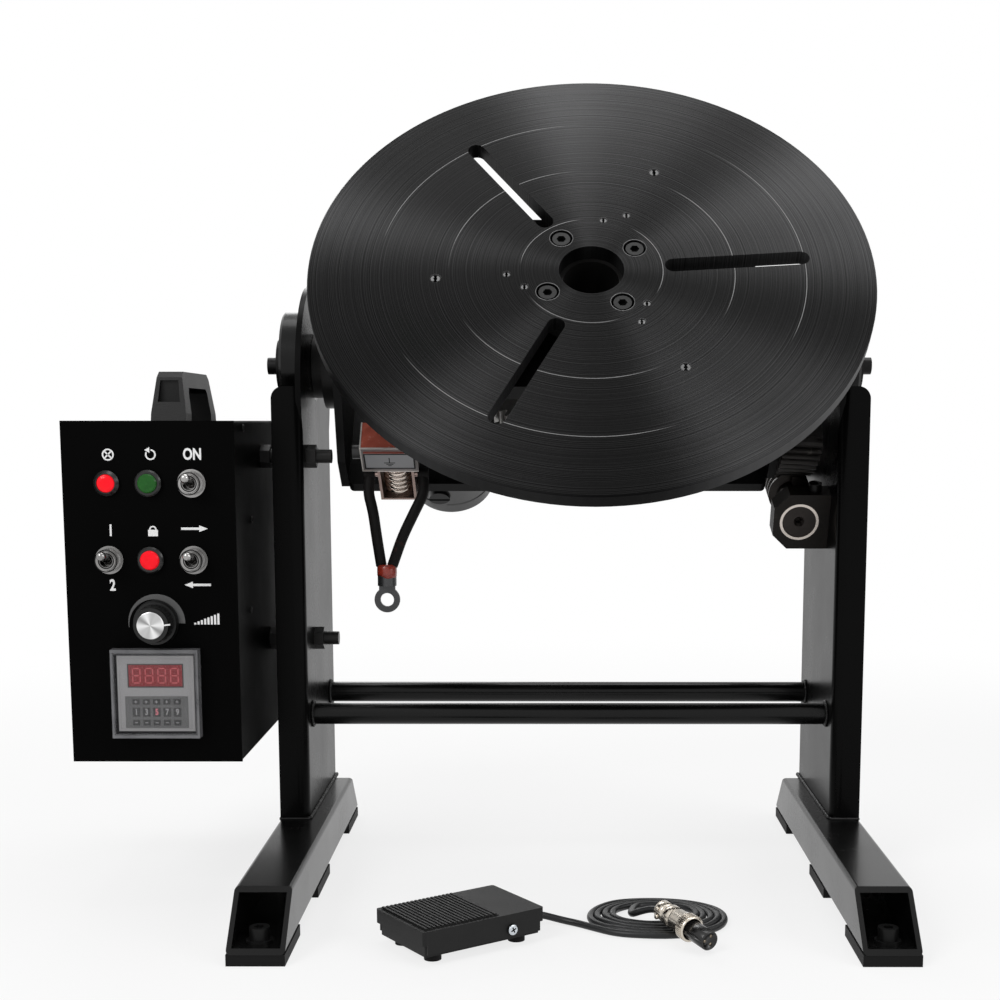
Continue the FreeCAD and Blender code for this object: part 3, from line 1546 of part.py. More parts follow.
def toggleLever(place, name, side):
    """A tapered lever on a pinned ball, set up or down from the panel's normal."""
    ball = Part.makeSphere(value("leverBall"))
    pinHalf = value("toggleBore - 0.4")
    pin = Part.makeCylinder(value("leverPin"), 2 * pinHalf, FreeCAD.Vector(-pinHalf, 0, 0), FreeCAD.Vector(1, 0, 0))
    toFront = FreeCAD.Vector(0, -1, 0)
    stem = Part.makeCone(value("lever"), value("leverTip"), value("leverLength"), FreeCAD.Vector(), toFront)
    tip = Part.makeSphere(value("leverTip"), FreeCAD.Vector(0, -value("leverLength"), 0))
    shape = ball.fuse([pin, stem, tip]).removeSplitter()
    shape.rotate(FreeCAD.Vector(), FreeCAD.Vector(1, 0, 0), -side * value("leverAngle"))
    shape.translate(FreeCAD.Vector(value(place[0]), -1, value(place[1])))
    return feature(name, shape, "box")


toggleLever(powerPlace, "power_lever", 1)
toggleLever(modePlace, "mode_lever", 1)
toggleLever(turnPlace, "direction_lever", 1)

toFront = FreeCAD.Vector(0, -1, 0)
knobBase = FreeCAD.Vector(value("knobX"), -2.2, value("knobZ"))
skirt = Part.makeCone(value("knob"), value("knob - 1"), 4, knobBase, toFront)
grip = Part.makeCone(value("knob - 2.5"), value("knob - 3.8"), value("knobHeight - 4"),
                     knobBase + toFront * 4, toFront)
knob = skirt.fuse(grip)
flute = value("knob - 2.5") * math.pi / value("knobFlutes") * 0.55
for index in range(int(value("knobFlutes"))):
    angle = 2 * math.pi * index / value("knobFlutes")
    out = FreeCAD.Vector(math.cos(angle), 0, math.sin(angle)) * value("knob - 2.1")
    knob = knob.cut(Part.makeCylinder(flute, 30, knobBase + out + toFront * 4, toFront))
knob = knob.fuse(Part.makeCylinder(value("knobCap"), 0.8, knobBase + toFront * value("knobHeight"), toFront))
feature("speed_knob", knob.removeSplitter(), "box")

timer = fuse(
    block("timerX - timerFace / 2", "-5", "timerZ - timerFace / 2", "timerFace", "5", "timerFace"),
    block("timerX - timerBody / 2", "-1", "timerZ - timerBody / 2", "timerBody", "timerDepth", "timerBody"),
)
seat(timer, "timer", "box")
cover = block("timerX - timerCoverWidth / 2", "-timerCoverDepth", "timerZ - timerCoverHeight / 2",
              "timerCoverWidth", "timerCoverDepth", "timerCoverHeight")
room = block("timerX - timerFace / 2 - fitGap", "-timerCoverDepth + 1.6", "timerZ - timerFace / 2 - fitGap",
             "timerFace + 2 * fitGap", "timerCoverDepth", "timerFace + 2 * fitGap")
seat(cut(cover, room), "timer_cover", "box")

# Drive board on stand-offs from the left wall, with its transformer and heat sink.
wall = "(-boxWidth / 2 + boxSheet)"
boardPieces = [block(wall + " + boardStand", "boardFront", "boardLow", "board", "boardLength", "boardHeight")]
for y in ("boardFront + 8", "boardFront + boardLength - 8"):
    for z in ("boardLow + 8", "boardLow + boardHeight - 8"):
        boardPieces.append(rod("X", wall, y, z, "3", "boardStand"))
boardFace = wall + " + boardStand + board"
boardPieces.append(block(boardFace, "boardFront + 15", "boardLow + 15", "30", "0.3 * boardLength", "0.4 * boardHeight"))
boardPieces.append(block(boardFace, "boardFront + 0.6 * boardLength", "boardLow + 15", "22", "0.3 * boardLength",
                         "0.7 * boardHeight"))
seat(fuse(*boardPieces), "drive_board", "box")

studs = []
boxSide = "-boxX + boxWidth / 2"
for index, (y, z) in enumerate(studPlaces):
    bolt = rod("X", "%s - boxSheet - studNutThickness" % boxSide, y, z, "stud", "studLength")
    nutStarts = [boxSide, "-webOuter - studNutThickness", "-webInner"]
    nutStarts.append("%s - boxSheet - studNutThickness" % boxSide)
    nuts = [hexagon("X", start, y, z, "studNut", "studNutThickness") for start in nutStarts]
    studs.append(fuse(bolt, *nuts))
seat(group(studs), "box_studs")


# ---------------------------------------------------------------- foot pedal

tray = newBody()
outline = sketch(tray, "XY", "pedalFoot")
polygon(outline, [
    ("-trayLength / 2", "-trayWidth / 2"),
    ("trayLength / 2", "-trayWidth / 2"),
    ("trayLength / 2", "trayWidth / 2"),
    ("-trayLength / 2", "trayWidth / 2"),
])
pad(tray, outline, "trayTop - pedalFoot")
soften(tray, "1.5", lambda edge: along(edge, "Z"))
inside = sketch(tray, "XY", "trayTop")
polygon(inside, [
    ("-trayLength / 2 + trayWall", "-trayWidth / 2 + trayWall"),
    ("trayLength / 2 - trayWall", "-trayWidth / 2 + trayWall"),
    ("trayLength / 2 - trayWall", "trayWidth / 2 - trayWall"),
    ("-trayLength / 2 + trayWall", "trayWidth / 2 - trayWall"),
])
pocket(tray, inside, "trayTop - pedalFoot - trayWall")
pinHole = sketch(tray, "XZ")
circle(pinHole, "pedalPinX", "pedalPinZ", "pedalPin + boltGap")
pocket(tray, pinHole, "2 * trayWidth", middle=True)
cordHole = sketch(tray, "YZ", "trayLength / 2")
circle(cordHole, "0", "cordExitZ", "cordRadius + boltGap")
pocket(tray, cordHole, "3 * trayWall", middle=True)

seat(group([rod("Z", "%spedalFootX" % a, "%spedalFootY" % b, "0", "pedalFootRadius", "pedalFoot")
            for a in "-+" for b in "-+"]), "pedal_feet", "pedal")

microSwitch = fuse(
    block("-24", "-4", "pedalFoot + trayWall", "20", "8", "6.5"),
    rod("Z", "-18", "0", "pedalFoot + trayWall + 6", "1.5", "4.8"),
)
seat(microSwitch, "pedal_switch", "pedal")

lid = newBody()
outline = sketch(lid, "XY", "coverTop")
polygon(outline, [
    ("-coverLength / 2", "-coverWidth / 2"),
    ("coverLength / 2", "-coverWidth / 2"),
    ("coverLength / 2", "coverWidth / 2"),
    ("-coverLength / 2", "coverWidth / 2"),
])
pad(lid, outline, "coverLip", back=True)
soften(lid, "2", lambda edge: along(edge, "Z"))
inside = sketch(lid, "XY", "coverTop - 2")
polygon(inside, [
    ("-coverLength / 2 + coverWall", "-coverWidth / 2 + coverWall"),
    ("coverLength / 2 - coverWall", "-coverWidth / 2 + coverWall"),
    ("coverLength / 2 - coverWall", "coverWidth / 2 - coverWall"),
    ("-coverLength / 2 + coverWall", "coverWidth / 2 - coverWall"),
])
pocket(lid, inside, "coverLip")
for side, back in (("-", False), ("+", True)):
    skirt = sketch(lid, "XZ", "%scoverWidth / 2" % ("+" if side == "-" else "-"))
    polygon(skirt, [
        ("-coverLength / 2 + skirtInset", "coverTop - 3"),
        ("-coverLength / 2 + skirtInset", "skirtLow"),
        ("coverLength / 2 - skirtInset", "skirtLow"),
        ("coverLength / 2 - skirtInset", "coverTop - 3"),
    ])
    pad(lid, skirt, "coverWall", back=not back)
pinHole = sketch(lid, "XZ")
circle(pinHole, "pedalPinX", "pedalPinZ", "pedalPin + runGap")
pocket(lid, pinHole, "2 * coverWidth", middle=True)
ribs = []
start = "-coverLength / 2 + 3"
ribs.append(block(start, "-coverWidth / 2 + 3", "coverTop - 1", "treadLength", "coverWidth - 6", "1.5"))
pitchText = "(treadLength / treadRibs)"
for index in range(int(value("treadRibs"))):
    ribs.append(block("%s + %s * %d" % (start, pitchText, index), "-coverWidth / 2 + 3", "coverTop",
                      "%s / 2" % pitchText, "coverWidth - 6", "treadRise"))
seat(fuse(lid, *ribs), "treadle", "pedal")

pin = rod("Y", "pedalPinX", "-coverWidth / 2 - 0.4", "pedalPinZ", "pedalPin", "coverWidth + 0.8")
head = rod("-Y", "pedalPinX", "-coverWidth / 2 - 0.4", "pedalPinZ", "pedalPin + 0.9", "1.1")
seat(group([tray, fuse(pin, head)]), "pedal_base", "pedal")

gland = cut(
    fuse(rod("X", "trayLength / 2", "0", "cordExitZ", "glandRadius", "2"),
         taper("X", "trayLength / 2 + 2", "0", "cordExitZ", "glandRadius - 0.4", "cordRadius + 0.7",
               "glandLength - 2")),
    rod("X", "trayLength / 2 - 1", "0", "cordExitZ", "cordRadius + 0.05", "glandLength + 2"),
)
seat(gland, "pedal_gland", "pedal")

# Cord: out of the pedal to a flat coil on the floor, then over the coil into its plug.
turn = math.radians(value("pedalTurn"))


def fromPedal(x, z):
    """A point on the pedal's long axis, seen from the stand's middle."""
    return (-value("pedalX") + x * math.cos(turn), -value("pedalY") + x * math.sin(turn), z)


exitX = value("trayLength / 2") + 1
cordRoute = [
    fromPedal(exitX, value("cordExitZ")),
    fromPedal(exitX + 11, 9.2),
    (-17.3, -196.9, 6.0),
    (-6.1, -197.7, 3.2),
    (4.1, -202.3, 2.4),
    (11.6, -210.2, 2.4),
]
tailRoute = [
    (21.5, -188.0, 3.6),
    (30.5, -187.5, 6.4),
    (40.5, -190.5, 10.4),
    (49.0, -196.5, 14.0),
    (55.8, -204.5, 15.4),
    (61.0, -213.6, 14.2),
]
cordParts = [tubeAlong(cordRoute, value("cordRadius"), "pedal cord"),
             tubeAlong(tailRoute, value("cordRadius"), "plug tail")]
feature("pedal_cord", Part.makeCompound(cordParts), "floor")


def oval(centreY, acrossX, acrossY):
    ring = Part.Ellipse(FreeCAD.Vector(value("coilX"), centreY, 0), acrossX, acrossY)
    return Part.Face(Part.Wire(ring.toShape()))


outerOval = oval(-value("coilY"), value("coilOuterX"), value("coilOuterY"))
innerOval = oval(-value("coilY - coilInnerBack"), value("coilInnerX"), value("coilInnerY"))
coil = outerOval.cut(innerOval).extrude(FreeCAD.Vector(0, 0, value("coilHeight")))
feature("cord_coil", coil, "floor")

plug = turned("X", [
    ("0", "cordRadius + 0.05"),
    ("0", "5.2"),
    ("9", "5.2"),
    ("10", "7"),
    ("28", "7.4"),
    ("29", "9"),
    ("42", "9"),
    ("43", "8.2"),
    ("43", "6.6"),
    ("59", "6.6"),
    ("59", "0"),
    ("6", "0"),
    ("6", "cordRadius + 0.05"),
])
plugFrom = FreeCAD.Vector(*tailRoute[-1])
plugTo = FreeCAD.Vector(87.7, -260.2, 8.3)
plugSolid = group([plug])
parts.append(plugSolid)
plugSolid.Label = "cord_plug"
heading = FreeCAD.Rotation(FreeCAD.Vector(1, 0, 0), plugTo - plugFrom)
start = plugFrom - (plugTo - plugFrom).normalize() * 5
plugSolid.Placement = FreeCAD.Placement(start, heading)
tie(plugSolid, "Placement.Base.x", "originX + (%f)" % start.x)
tie(plugSolid, "Placement.Base.y", "originY + (%f)" % start.y)


# ---------------------------------------------------------------- check and write

doc.recompute()
for thing in doc.Objects:
    if "Invalid" in thing.State or "Error" in thing.State:
        raise RuntimeError("%s failed: %s" % (thing.Label, thing.State))
labels = [part.Label for part in parts]
if len(set(labels)) != len(labels):
    raise RuntimeError("two sub-parts share a name")
os.makedirs("parts", exist_ok=True)
for part in parts:
    shape = part.Shape
    if shape.isNull() or not shape.isValid() or not shape.Solids:
        raise RuntimeError(part.Label + " has no valid solid")
for part in parts:
    part.Shape.exportStep("parts/%s.step" % part.Label)
print(len(parts), "sub-parts written")
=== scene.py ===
import math
import bmesh
import bpy
from mathutils import Matrix, Vector


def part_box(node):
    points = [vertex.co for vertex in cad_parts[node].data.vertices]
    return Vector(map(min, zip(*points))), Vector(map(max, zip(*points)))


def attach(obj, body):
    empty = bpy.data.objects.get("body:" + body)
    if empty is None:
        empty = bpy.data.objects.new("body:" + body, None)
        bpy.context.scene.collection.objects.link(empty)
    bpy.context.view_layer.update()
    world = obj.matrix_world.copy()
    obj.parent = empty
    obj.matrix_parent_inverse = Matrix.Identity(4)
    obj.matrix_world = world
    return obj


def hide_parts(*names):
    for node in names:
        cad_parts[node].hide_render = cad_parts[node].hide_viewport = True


print("loading the frame")
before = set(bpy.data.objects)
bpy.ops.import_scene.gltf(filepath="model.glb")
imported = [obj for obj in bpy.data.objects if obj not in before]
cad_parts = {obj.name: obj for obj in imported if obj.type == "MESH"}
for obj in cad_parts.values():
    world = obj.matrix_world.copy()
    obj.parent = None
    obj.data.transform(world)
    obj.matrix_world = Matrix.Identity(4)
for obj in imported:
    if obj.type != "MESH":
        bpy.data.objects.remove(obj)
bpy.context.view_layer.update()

# Places shared by several pieces, in metres. The stand's middle is at (standX, standY).
standX, standY = 0.05695, 0.05819
pivotZ = 0.3737
tiltAngle = math.radians(50)
tableX = standX + 0.0145
tableNormal = Vector((0, -math.sin(tiltAngle), math.cos(tiltAngle)))
tableUphill = Vector((0, math.cos(tiltAngle), math.sin(tiltAngle)))
tableFace = Vector((tableX, standY, pivotZ)) + tableNormal * 0.1
forwards, sideways, upwards = (0, -1, 0), (1, 0, 0), (0, 0, 1)


def tiltPoint(x, v, w):
    # a point of the tilted cradle: across, up the slope, and out along the table's normal
    return Vector((x, standY, pivotZ)) + tableUphill * v + tableNormal * w


boxCorner = Vector((standX - 0.284, standY - 0.151, 0.1006))


def boxPoint(x, y, z):
    # a point of the control box, from the middle of its front's lower edge
    return boxCorner + Vector((x, y, z))


pedalTurn = math.radians(35.3)
pedalMiddle = (standX - 0.0726, standY - 0.2315)


def pedalPoint(x, y, z):
    # a point of the foot pedal, which stands turned on the floor
    cos, sin = math.cos(pedalTurn), math.sin(pedalTurn)
    return Vector((pedalMiddle[0] + x * cos - y * sin, pedalMiddle[1] + x * sin + y * cos, z))


# Shader maths and nodes

def addNode(tree, kind, settings=None, inputs=None, out=0):
    # a node of any tree; each input takes a socket or a plain amount
    node = tree.nodes.new(kind)
    for key, setting in (settings or {}).items():
        setattr(node, key, setting)
    for key, given in (inputs or {}).items():
        if isinstance(given, bpy.types.NodeSocket):
            tree.links.new(given, node.inputs[key])
        else:
            node.inputs[key].default_value = given
    return node.outputs[out]


def operator(operation, swap=False):
    return lambda wire, other=0.0: wire.math(operation, other, swap)


class Wire:
    # one output of a node, on which + - * and a few functions add Math nodes
    def __init__(self, finish, socket):
        self.finish = finish
        self.socket = socket

    def math(self, operation, other=0.0, swap=False, clamp=False):
        first, second = (other, self) if swap else (self, other)
        return self.finish.add("ShaderNodeMath", {"operation": operation, "use_clamp": clamp},
                               {0: first, 1: second})

    __add__ = operator("ADD")
    __sub__ = operator("SUBTRACT")
    __rsub__ = operator("SUBTRACT", swap=True)
    __mul__ = operator("MULTIPLY")
    __abs__ = operator("ABSOLUTE")
    sine = operator("SINE")
    larger = operator("MAXIMUM")

    def clamped(self):
        return self.math("ADD", 0.0, clamp=True)

    def between(self, low, high):
        # 0 below low, 1 above high, smooth in between
        return self.finish.add("ShaderNodeMapRange", {"interpolation_type": "SMOOTHSTEP"},
                               {0: self, 1: low, 2: high, 3: 0.0, 4: 1.0})


class Finish:
    # a material: every node comes from add()
    def __init__(self, name, **constants):
        self.material = bpy.data.materials.new(name)
        self.material.use_nodes = True
        self.tree = self.material.node_tree
        self.tree.nodes.clear()
        self.shader = self.tree.nodes.new("ShaderNodeBsdfPrincipled")
        self.output = self.tree.nodes.new("ShaderNodeOutputMaterial")
        self.tree.links.new(self.shader.outputs[0], self.output.inputs["Surface"])
        for socket, amount in constants.items():
            self.shader.inputs[socket.replace("_", " ")].default_value = amount

    def add(self, kind, settings=None, inputs=None, out=0):
        bare = {key: given.socket if isinstance(given, Wire) else given
                for key, given in (inputs or {}).items()}
        return Wire(self, addNode(self.tree, kind, settings, bare, out))

    def place(self):
        return self.add("ShaderNodeTexCoord", out="Object")

    def noise(self, scale, detail=2.0, rough=0.5):
        return self.add("ShaderNodeTexNoise", {}, {"Vector": self.place(), "Scale": scale, "Detail": detail,
                                                   "Roughness": rough})

    def lines(self, number, scale, detail=3.0):
        # noise along one number, such as a radius
        return self.add("ShaderNodeTexNoise", {"noise_dimensions": "1D"},
                        {"W": number, "Scale": scale, "Detail": detail, "Roughness": 0.6})

    def vector(self, operation, first, second=(0, 0, 0), out=0):
        return self.add("ShaderNodeVectorMath", {"operation": operation}, {0: first, 1: tuple(second)}, out)

    def offset(self, centre):
        return self.vector("SUBTRACT", self.place(), centre)

    def along(self, vector, direction):
        return self.vector("DOT_PRODUCT", vector, direction, "Value")

    def length(self, vector):
        return self.vector("LENGTH", vector, out="Value")

    def mix(self, first, second, share):
        return self.add("ShaderNodeMix", {"data_type": "RGBA"}, {0: share, 6: first, 7: second}, out=2)

    def feed(self, **links):
        for socket, wire in links.items():
            self.tree.links.new(wire.socket, self.shader.inputs[socket.replace("_", " ")])

    def bump(self, height, strength, distance=0.001):
        return self.add("ShaderNodeBump", {}, {"Strength": strength, "Distance": distance, "Height": height})


def grey(amount, warm=0.0):
    return (amount * (1 + warm), amount, amount * (1 - warm), 1.0)


def shaded(colour, factor):
    return tuple(min(1.0, channel * factor) for channel in colour[:3]) + (1.0,)


def speckled(name, colour, spread, roughness, grain, strength, metallic=0.0, coat=0.0, coatRough=0.1,
             wear=0.0, wearColour=None, specular=0.5):
    # the common recipe: cloudy colour, uneven gloss, and a fine grain in the surface
    paint = Finish(name, Metallic=metallic, Coat_Weight=coat, Coat_Roughness=coatRough,
                   Specular_IOR_Level=specular)
    cloud = paint.noise(14.0, 4.0, 0.6)
    fine = paint.noise(grain, 3.0, 0.55)
    light = shaded(colour, 1 + spread)
    tint = paint.mix(shaded(colour, 1 - spread), light, cloud.between(0.3, 0.7))
    if wear:
        rubbed = paint.noise(55.0, 6.0, 0.7).between(0.62, 0.72) * wear
        tint = paint.mix(tint, wearColour or light, rubbed)
    paint.feed(Base_Color=tint,
               Roughness=cloud * (roughness * 0.5) + (roughness * 0.75) + fine * 0.04,
               Normal=paint.bump(fine, strength, 0.0004))
    return paint.material


print("making the finishes")
powderCoat = speckled("powderCoat", grey(0.0022), 0.25, 0.24, 900.0, 0.10, coat=0.10, coatRough=0.08,
                      specular=0.16)
# painted shade: the uprights get a darker, duller copy of the frame's powder coat
uprightShadedCoat = speckled("uprightShadedCoat", grey(0.0012), 0.25, 0.26, 900.0, 0.10, coat=0.02, coatRough=0.1,
                       specular=0.05)
boxCoat = speckled("boxCoat", grey(0.0009), 0.25, 0.42, 1100.0, 0.16, specular=0.03)
cradleCoat = speckled("cradleCoat", grey(0.0022), 0.3, 0.34, 800.0, 0.14, specular=0.12)
panelInk = speckled("panelInk", grey(0.0008), 0.2, 0.5, 1500.0, 0.08, specular=0.025)
blackOxide = speckled("blackOxide", grey(0.010, 0.03), 0.35, 0.36, 700.0, 0.14, metallic=0.35, specular=0.3)
brownOxide = speckled("brownOxide", (0.0085, 0.0068, 0.0055, 1), 0.5, 0.5, 420.0, 0.3, metallic=0.2,
                      wear=0.25, wearColour=(0.05, 0.042, 0.036, 1), specular=0.22)
toothSteel = speckled("toothSteel", (0.018, 0.016, 0.015, 1), 0.4, 0.34, 500.0, 0.2, metallic=0.6, wear=0.5,
                      wearColour=(0.13, 0.12, 0.11, 1), specular=0.4)
darkScrew = speckled("darkScrew", grey(0.008), 0.3, 0.32, 900.0, 0.1, metallic=0.4, specular=0.2)
wormSteel = speckled("wormSteel", (0.022, 0.018, 0.016, 1), 0.4, 0.34, 600.0, 0.2, metallic=0.5, specular=0.3)
machined = speckled("machined", (0.30, 0.295, 0.285, 1), 0.2, 0.32, 500.0, 0.12, metallic=1.0)
plugBrass = speckled("plugBrass", (0.20, 0.17, 0.13, 1), 0.2, 0.3, 600.0, 0.06, metallic=1.0)
polishedRing = speckled("polishedRing", (0.62, 0.56, 0.51, 1), 0.12, 0.26, 600.0, 0.06, metallic=1.0)
nickel = speckled("nickel", (0.30, 0.295, 0.29, 1), 0.3, 0.20, 260.0, 0.10, metallic=1.0)
plugNickel = speckled("plugNickel", (0.56, 0.51, 0.44, 1), 0.15, 0.18, 400.0, 0.04, metallic=1.0)
tinned = speckled("tinned", (0.075, 0.076, 0.078, 1), 0.25, 0.36, 350.0, 0.12, metallic=0.7)
bronze = speckled("bronze", (0.42, 0.27, 0.12, 1), 0.2, 0.4, 600.0, 0.1, metallic=1.0)
brightEdge = speckled("brightEdge", (0.66, 0.62, 0.59, 1), 0.15, 0.3, 700.0, 0.06, metallic=0.9)
bracketSteel = speckled("bracketSteel", (0.36, 0.27, 0.24, 1), 0.3, 0.26, 300.0, 0.12, metallic=1.0, wear=0.5,
                        wearColour=(0.75, 0.68, 0.64, 1))
springWire = speckled("springWire", (0.66, 0.58, 0.52, 1), 0.15, 0.18, 500.0, 0.05, metallic=1.0)
grainPlastic = speckled("grainPlastic", grey(0.0036), 0.2, 0.42, 1300.0, 0.3, specular=0.25)
pedalPlastic = speckled("pedalPlastic", grey(0.0105), 0.2, 0.5, 1500.0, 0.35, specular=0.2)
knobPlastic = speckled("knobPlastic", grey(0.0045), 0.2, 0.3, 900.0, 0.1, specular=0.35)
bezelPlastic = speckled("bezelPlastic", grey(0.006), 0.2, 0.22, 900.0, 0.05, specular=0.45)
padRubber = speckled("padRubber", grey(0.004), 0.3, 0.6, 600.0, 0.3, specular=0.15)
jacket = speckled("jacket", grey(0.010, -0.06), 0.18, 0.38, 700.0, 0.1, specular=0.35)
leadSleeve = speckled("leadSleeve", (0.0042, 0.0036, 0.0034, 1), 0.5, 0.6, 1400.0, 0.8, wear=0.5,
                      wearColour=(0.05, 0.018, 0.014, 1), specular=0.15)
boardGreen = speckled("boardGreen", (0.012, 0.085, 0.035, 1), 0.25, 0.35, 300.0, 0.06)
markWhite = speckled("markWhite", grey(0.88), 0.03, 0.5, 700.0, 0.03, specular=0.2)
markGrey = speckled("markGrey", grey(0.115), 0.14, 0.5, 700.0, 0.05, specular=0.2)
timerFrame = speckled("timerFrame", grey(0.030), 0.2, 0.3, 900.0, 0.08, specular=0.4)
timerGrey = speckled("timerGrey", (0.36, 0.355, 0.36, 1), 0.06, 0.5, 900.0, 0.06, specular=0.2)
timerBand = speckled("timerBand", grey(0.14), 0.12, 0.5, 900.0, 0.08, specular=0.2)
timerWell = speckled("timerWell", grey(0.045), 0.12, 0.5, 900.0, 0.08, specular=0.2)
labelPlate = speckled("labelPlate", (0.30, 0.30, 0.31, 1), 0.08, 0.42, 500.0, 0.04, metallic=0.1)
labelInk = speckled("labelInk", grey(0.012), 0.2, 0.5, 500.0, 0.04, specular=0.2)
shrinkRed = speckled("shrinkRed", (0.30, 0.028, 0.014, 1), 0.3, 0.32, 250.0, 0.2, coat=0.3)
zincScrew = speckled("zincScrew", (0.62, 0.66, 0.70, 1), 0.12, 0.24, 600.0, 0.05, metallic=1.0)
holeShade = speckled("holeShade", grey(0.0012), 0.2, 0.6, 600.0, 0.05, specular=0.05)
rimSteel = speckled("rimSteel", grey(0.085), 0.2, 0.3, 600.0, 0.05, metallic=0.9)
glintSteel = speckled("glintSteel", grey(0.085), 0.5, 0.35, 900.0, 0.3, metallic=0.6)


def glowing(name, colour, glow, deep):
    # a moulded lens: brighter in the middle of its cloud, with a clear coat
    lens = Finish(name, Roughness=0.3, Coat_Weight=0.12, Coat_Roughness=0.08, Emission_Strength=glow,
                  Specular_IOR_Level=0.15)
    cloud = lens.noise(220.0, 3.0, 0.6)
    tint = lens.mix(deep, colour, cloud.between(0.25, 0.75))
    lens.feed(Base_Color=tint, Emission_Color=tint, Normal=lens.bump(cloud, 0.1, 0.0004))
    return lens.material


lampRed = glowing("lampRed", (0.88, 0.004, 0.014, 1), 0.45, (0.72, 0.002, 0.008, 1))
# painted glow: the lock and reset buttons glow, though they are no lamps
buttonRed = glowing("buttonRed", (0.88, 0.005, 0.016, 1), 0.3, (0.74, 0.003, 0.010, 1))
buttonGreen = glowing("buttonGreen", (0.014, 0.105, 0.014, 1), 0.06, (0.009, 0.078, 0.010, 1))
displayRed = glowing("displayRed", (0.26, 0.020, 0.024, 1), 0.05, (0.22, 0.016, 0.020, 1))
digitRed = glowing("digitRed", (0.58, 0.12, 0.13, 1), 0.1, (0.50, 0.09, 0.10, 1))
# painted glow: the middle wheel's number glows, though it is no lamp
digitPink = glowing("digitPink", (0.75, 0.24, 0.28, 1), 0.1, (0.7, 0.2, 0.24, 1))


def radiusFrom(finish, centre, axis):
    # how far a point lies from an axis, and its offset from the axis's middle
    offset = finish.offset(centre)
    return finish.length(finish.vector("CROSS_PRODUCT", offset, axis)), offset


def paintedFans(angle, highlightFans, mean):
    # painted highlight: bright fans about an axis; each says how often it repeats, its turn and its share
    total = mean
    for often, turn, share in highlightFans:
        total = (angle * often + turn).sine() * share + total
    return total


turnedFace = {"rings": (0.0504, 0.1009, 0.151), "ringHalf": 0.00036, "ringTone": 0.26, "pitch": 820.0,
              "highlightFans": ((5.0, -0.17, 0.30), (1.0, 0.7, 0.22), (11.0, 1.4, 0.08)), "highlightMean": 0.42,
              "colour": (0.0165, 0.0165, 0.0168, 1), "darkest": 0.10, "lightest": 4.4, "roughness": 0.31}


def turnedSteel(name, centre, axis, across):
    # blackened steel faced on a lathe: tool rings about the axis, scribed circles, and painted highlights in
    # bright fans
    steel = Finish(name, Metallic=0.15, Specular_IOR_Level=0.04)
    radius, offset = radiusFrom(steel, centre, axis)
    fine = steel.lines(radius, turnedFace["pitch"] * 2.4, 2.0)
    groove = steel.lines(radius, turnedFace["pitch"], 2.0)
    cloud = steel.noise(9.0, 4.0, 0.6)
    grain = steel.noise(700.0, 3.0, 0.6)
    up = Vector(axis).cross(Vector(across))
    angle = steel.along(offset, up).math("ARCTAN2", steel.along(offset, across))
    paintedFan = paintedFans(angle, turnedFace["highlightFans"], turnedFace["highlightMean"])
    scribed = None
    for circle in turnedFace["rings"]:
        line = 1 - abs(radius - circle).between(turnedFace["ringHalf"] * 0.6, turnedFace["ringHalf"])
        scribed = line if scribed is None else scribed.larger(line)
    broken = (angle * 3.0 + 0.9).sine() * 0.5 + cloud
    top = steel.along(offset, axis).between(-0.0006, -0.0003)
    scribed = scribed * broken.between(0.15, 0.65) * top
    tone = groove * 0.42 + fine * 0.38 + cloud * 0.12 + grain * 0.08
    # painted highlight: the fans lighten the colour, more so towards the rim
    tone = tone.between(0.3, 0.72) * 0.45 + paintedFan * (radius * 3.6 + 0.32) - 0.12
    tone = tone.clamped()
    dark, light = (shaded(turnedFace["colour"], turnedFace[key]) for key in ("darkest", "lightest"))
    tint = steel.mix(dark, light, tone * tone)
    tint = steel.mix(tint, grey(turnedFace["ringTone"]), scribed * 0.8)
    height = fine * 0.5 + groove * 0.9 - scribed * 1.2
    steel.feed(Base_Color=tint, Roughness=cloud * 0.12 + turnedFace["roughness"] + fine * 0.08,
               Normal=steel.bump(height, 0.8, 0.00022))
    return steel.material


tableSteel = turnedSteel("tableSteel", tableFace, tableNormal, sideways)


coverParts = {"rimFrom": 0.0032, "rimTo": 0.0008, "rimAlpha": 0.55, "windowAlpha": 0.07}


def clearCover(name):
    # a clear moulding whose rim is cloudier than the window inside it
    glass = Finish(name, Roughness=0.12, Metallic=0.0, IOR=1.45, Specular_IOR_Level=0.3)
    cloud = glass.noise(60.0, 3.0)
    tint = glass.mix((0.20, 0.20, 0.21, 1), (0.26, 0.26, 0.27, 1), cloud.between(0.3, 0.7))
    lowest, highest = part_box("timer_cover")
    offset = glass.offset((lowest + highest) / 2)
    aside = abs(glass.along(offset, sideways)).larger(abs(glass.along(offset, upwards)))
    half = (highest.x - lowest.x) / 2
    rim = aside.between(half - coverParts["rimFrom"], half - coverParts["rimTo"])
    glass.feed(Base_Color=tint, Alpha=cloud * 0.04 + coverParts["windowAlpha"] + rim * coverParts["rimAlpha"])
    glass.material.surface_render_method = "BLENDED"
    return glass.material


timerClear = clearCover("timerClear")


def spunCap(name, centre, axis):
    # a spun aluminium cap: bright fans of painted highlight about the middle
    cap = Finish(name, Metallic=0.75)
    radius, offset = radiusFrom(cap, centre, axis)
    angle = cap.along(offset, upwards).math("ARCTAN2", cap.along(offset, sideways))
    paintedFan = paintedFans(angle, ((4.0, 0.6, 0.32), (6.0, 1.9, 0.2)), 0.55)
    rings = cap.lines(radius, 4000.0, 2.0)
    # painted highlight: the fans carry the cap's colour from dark grey to near white
    tint = cap.mix(grey(0.30), grey(0.86), paintedFan.clamped())
    cap.feed(Base_Color=tint, Roughness=rings * 0.15 + 0.28, Normal=cap.bump(rings, 0.2, 0.0002))
    return cap.material


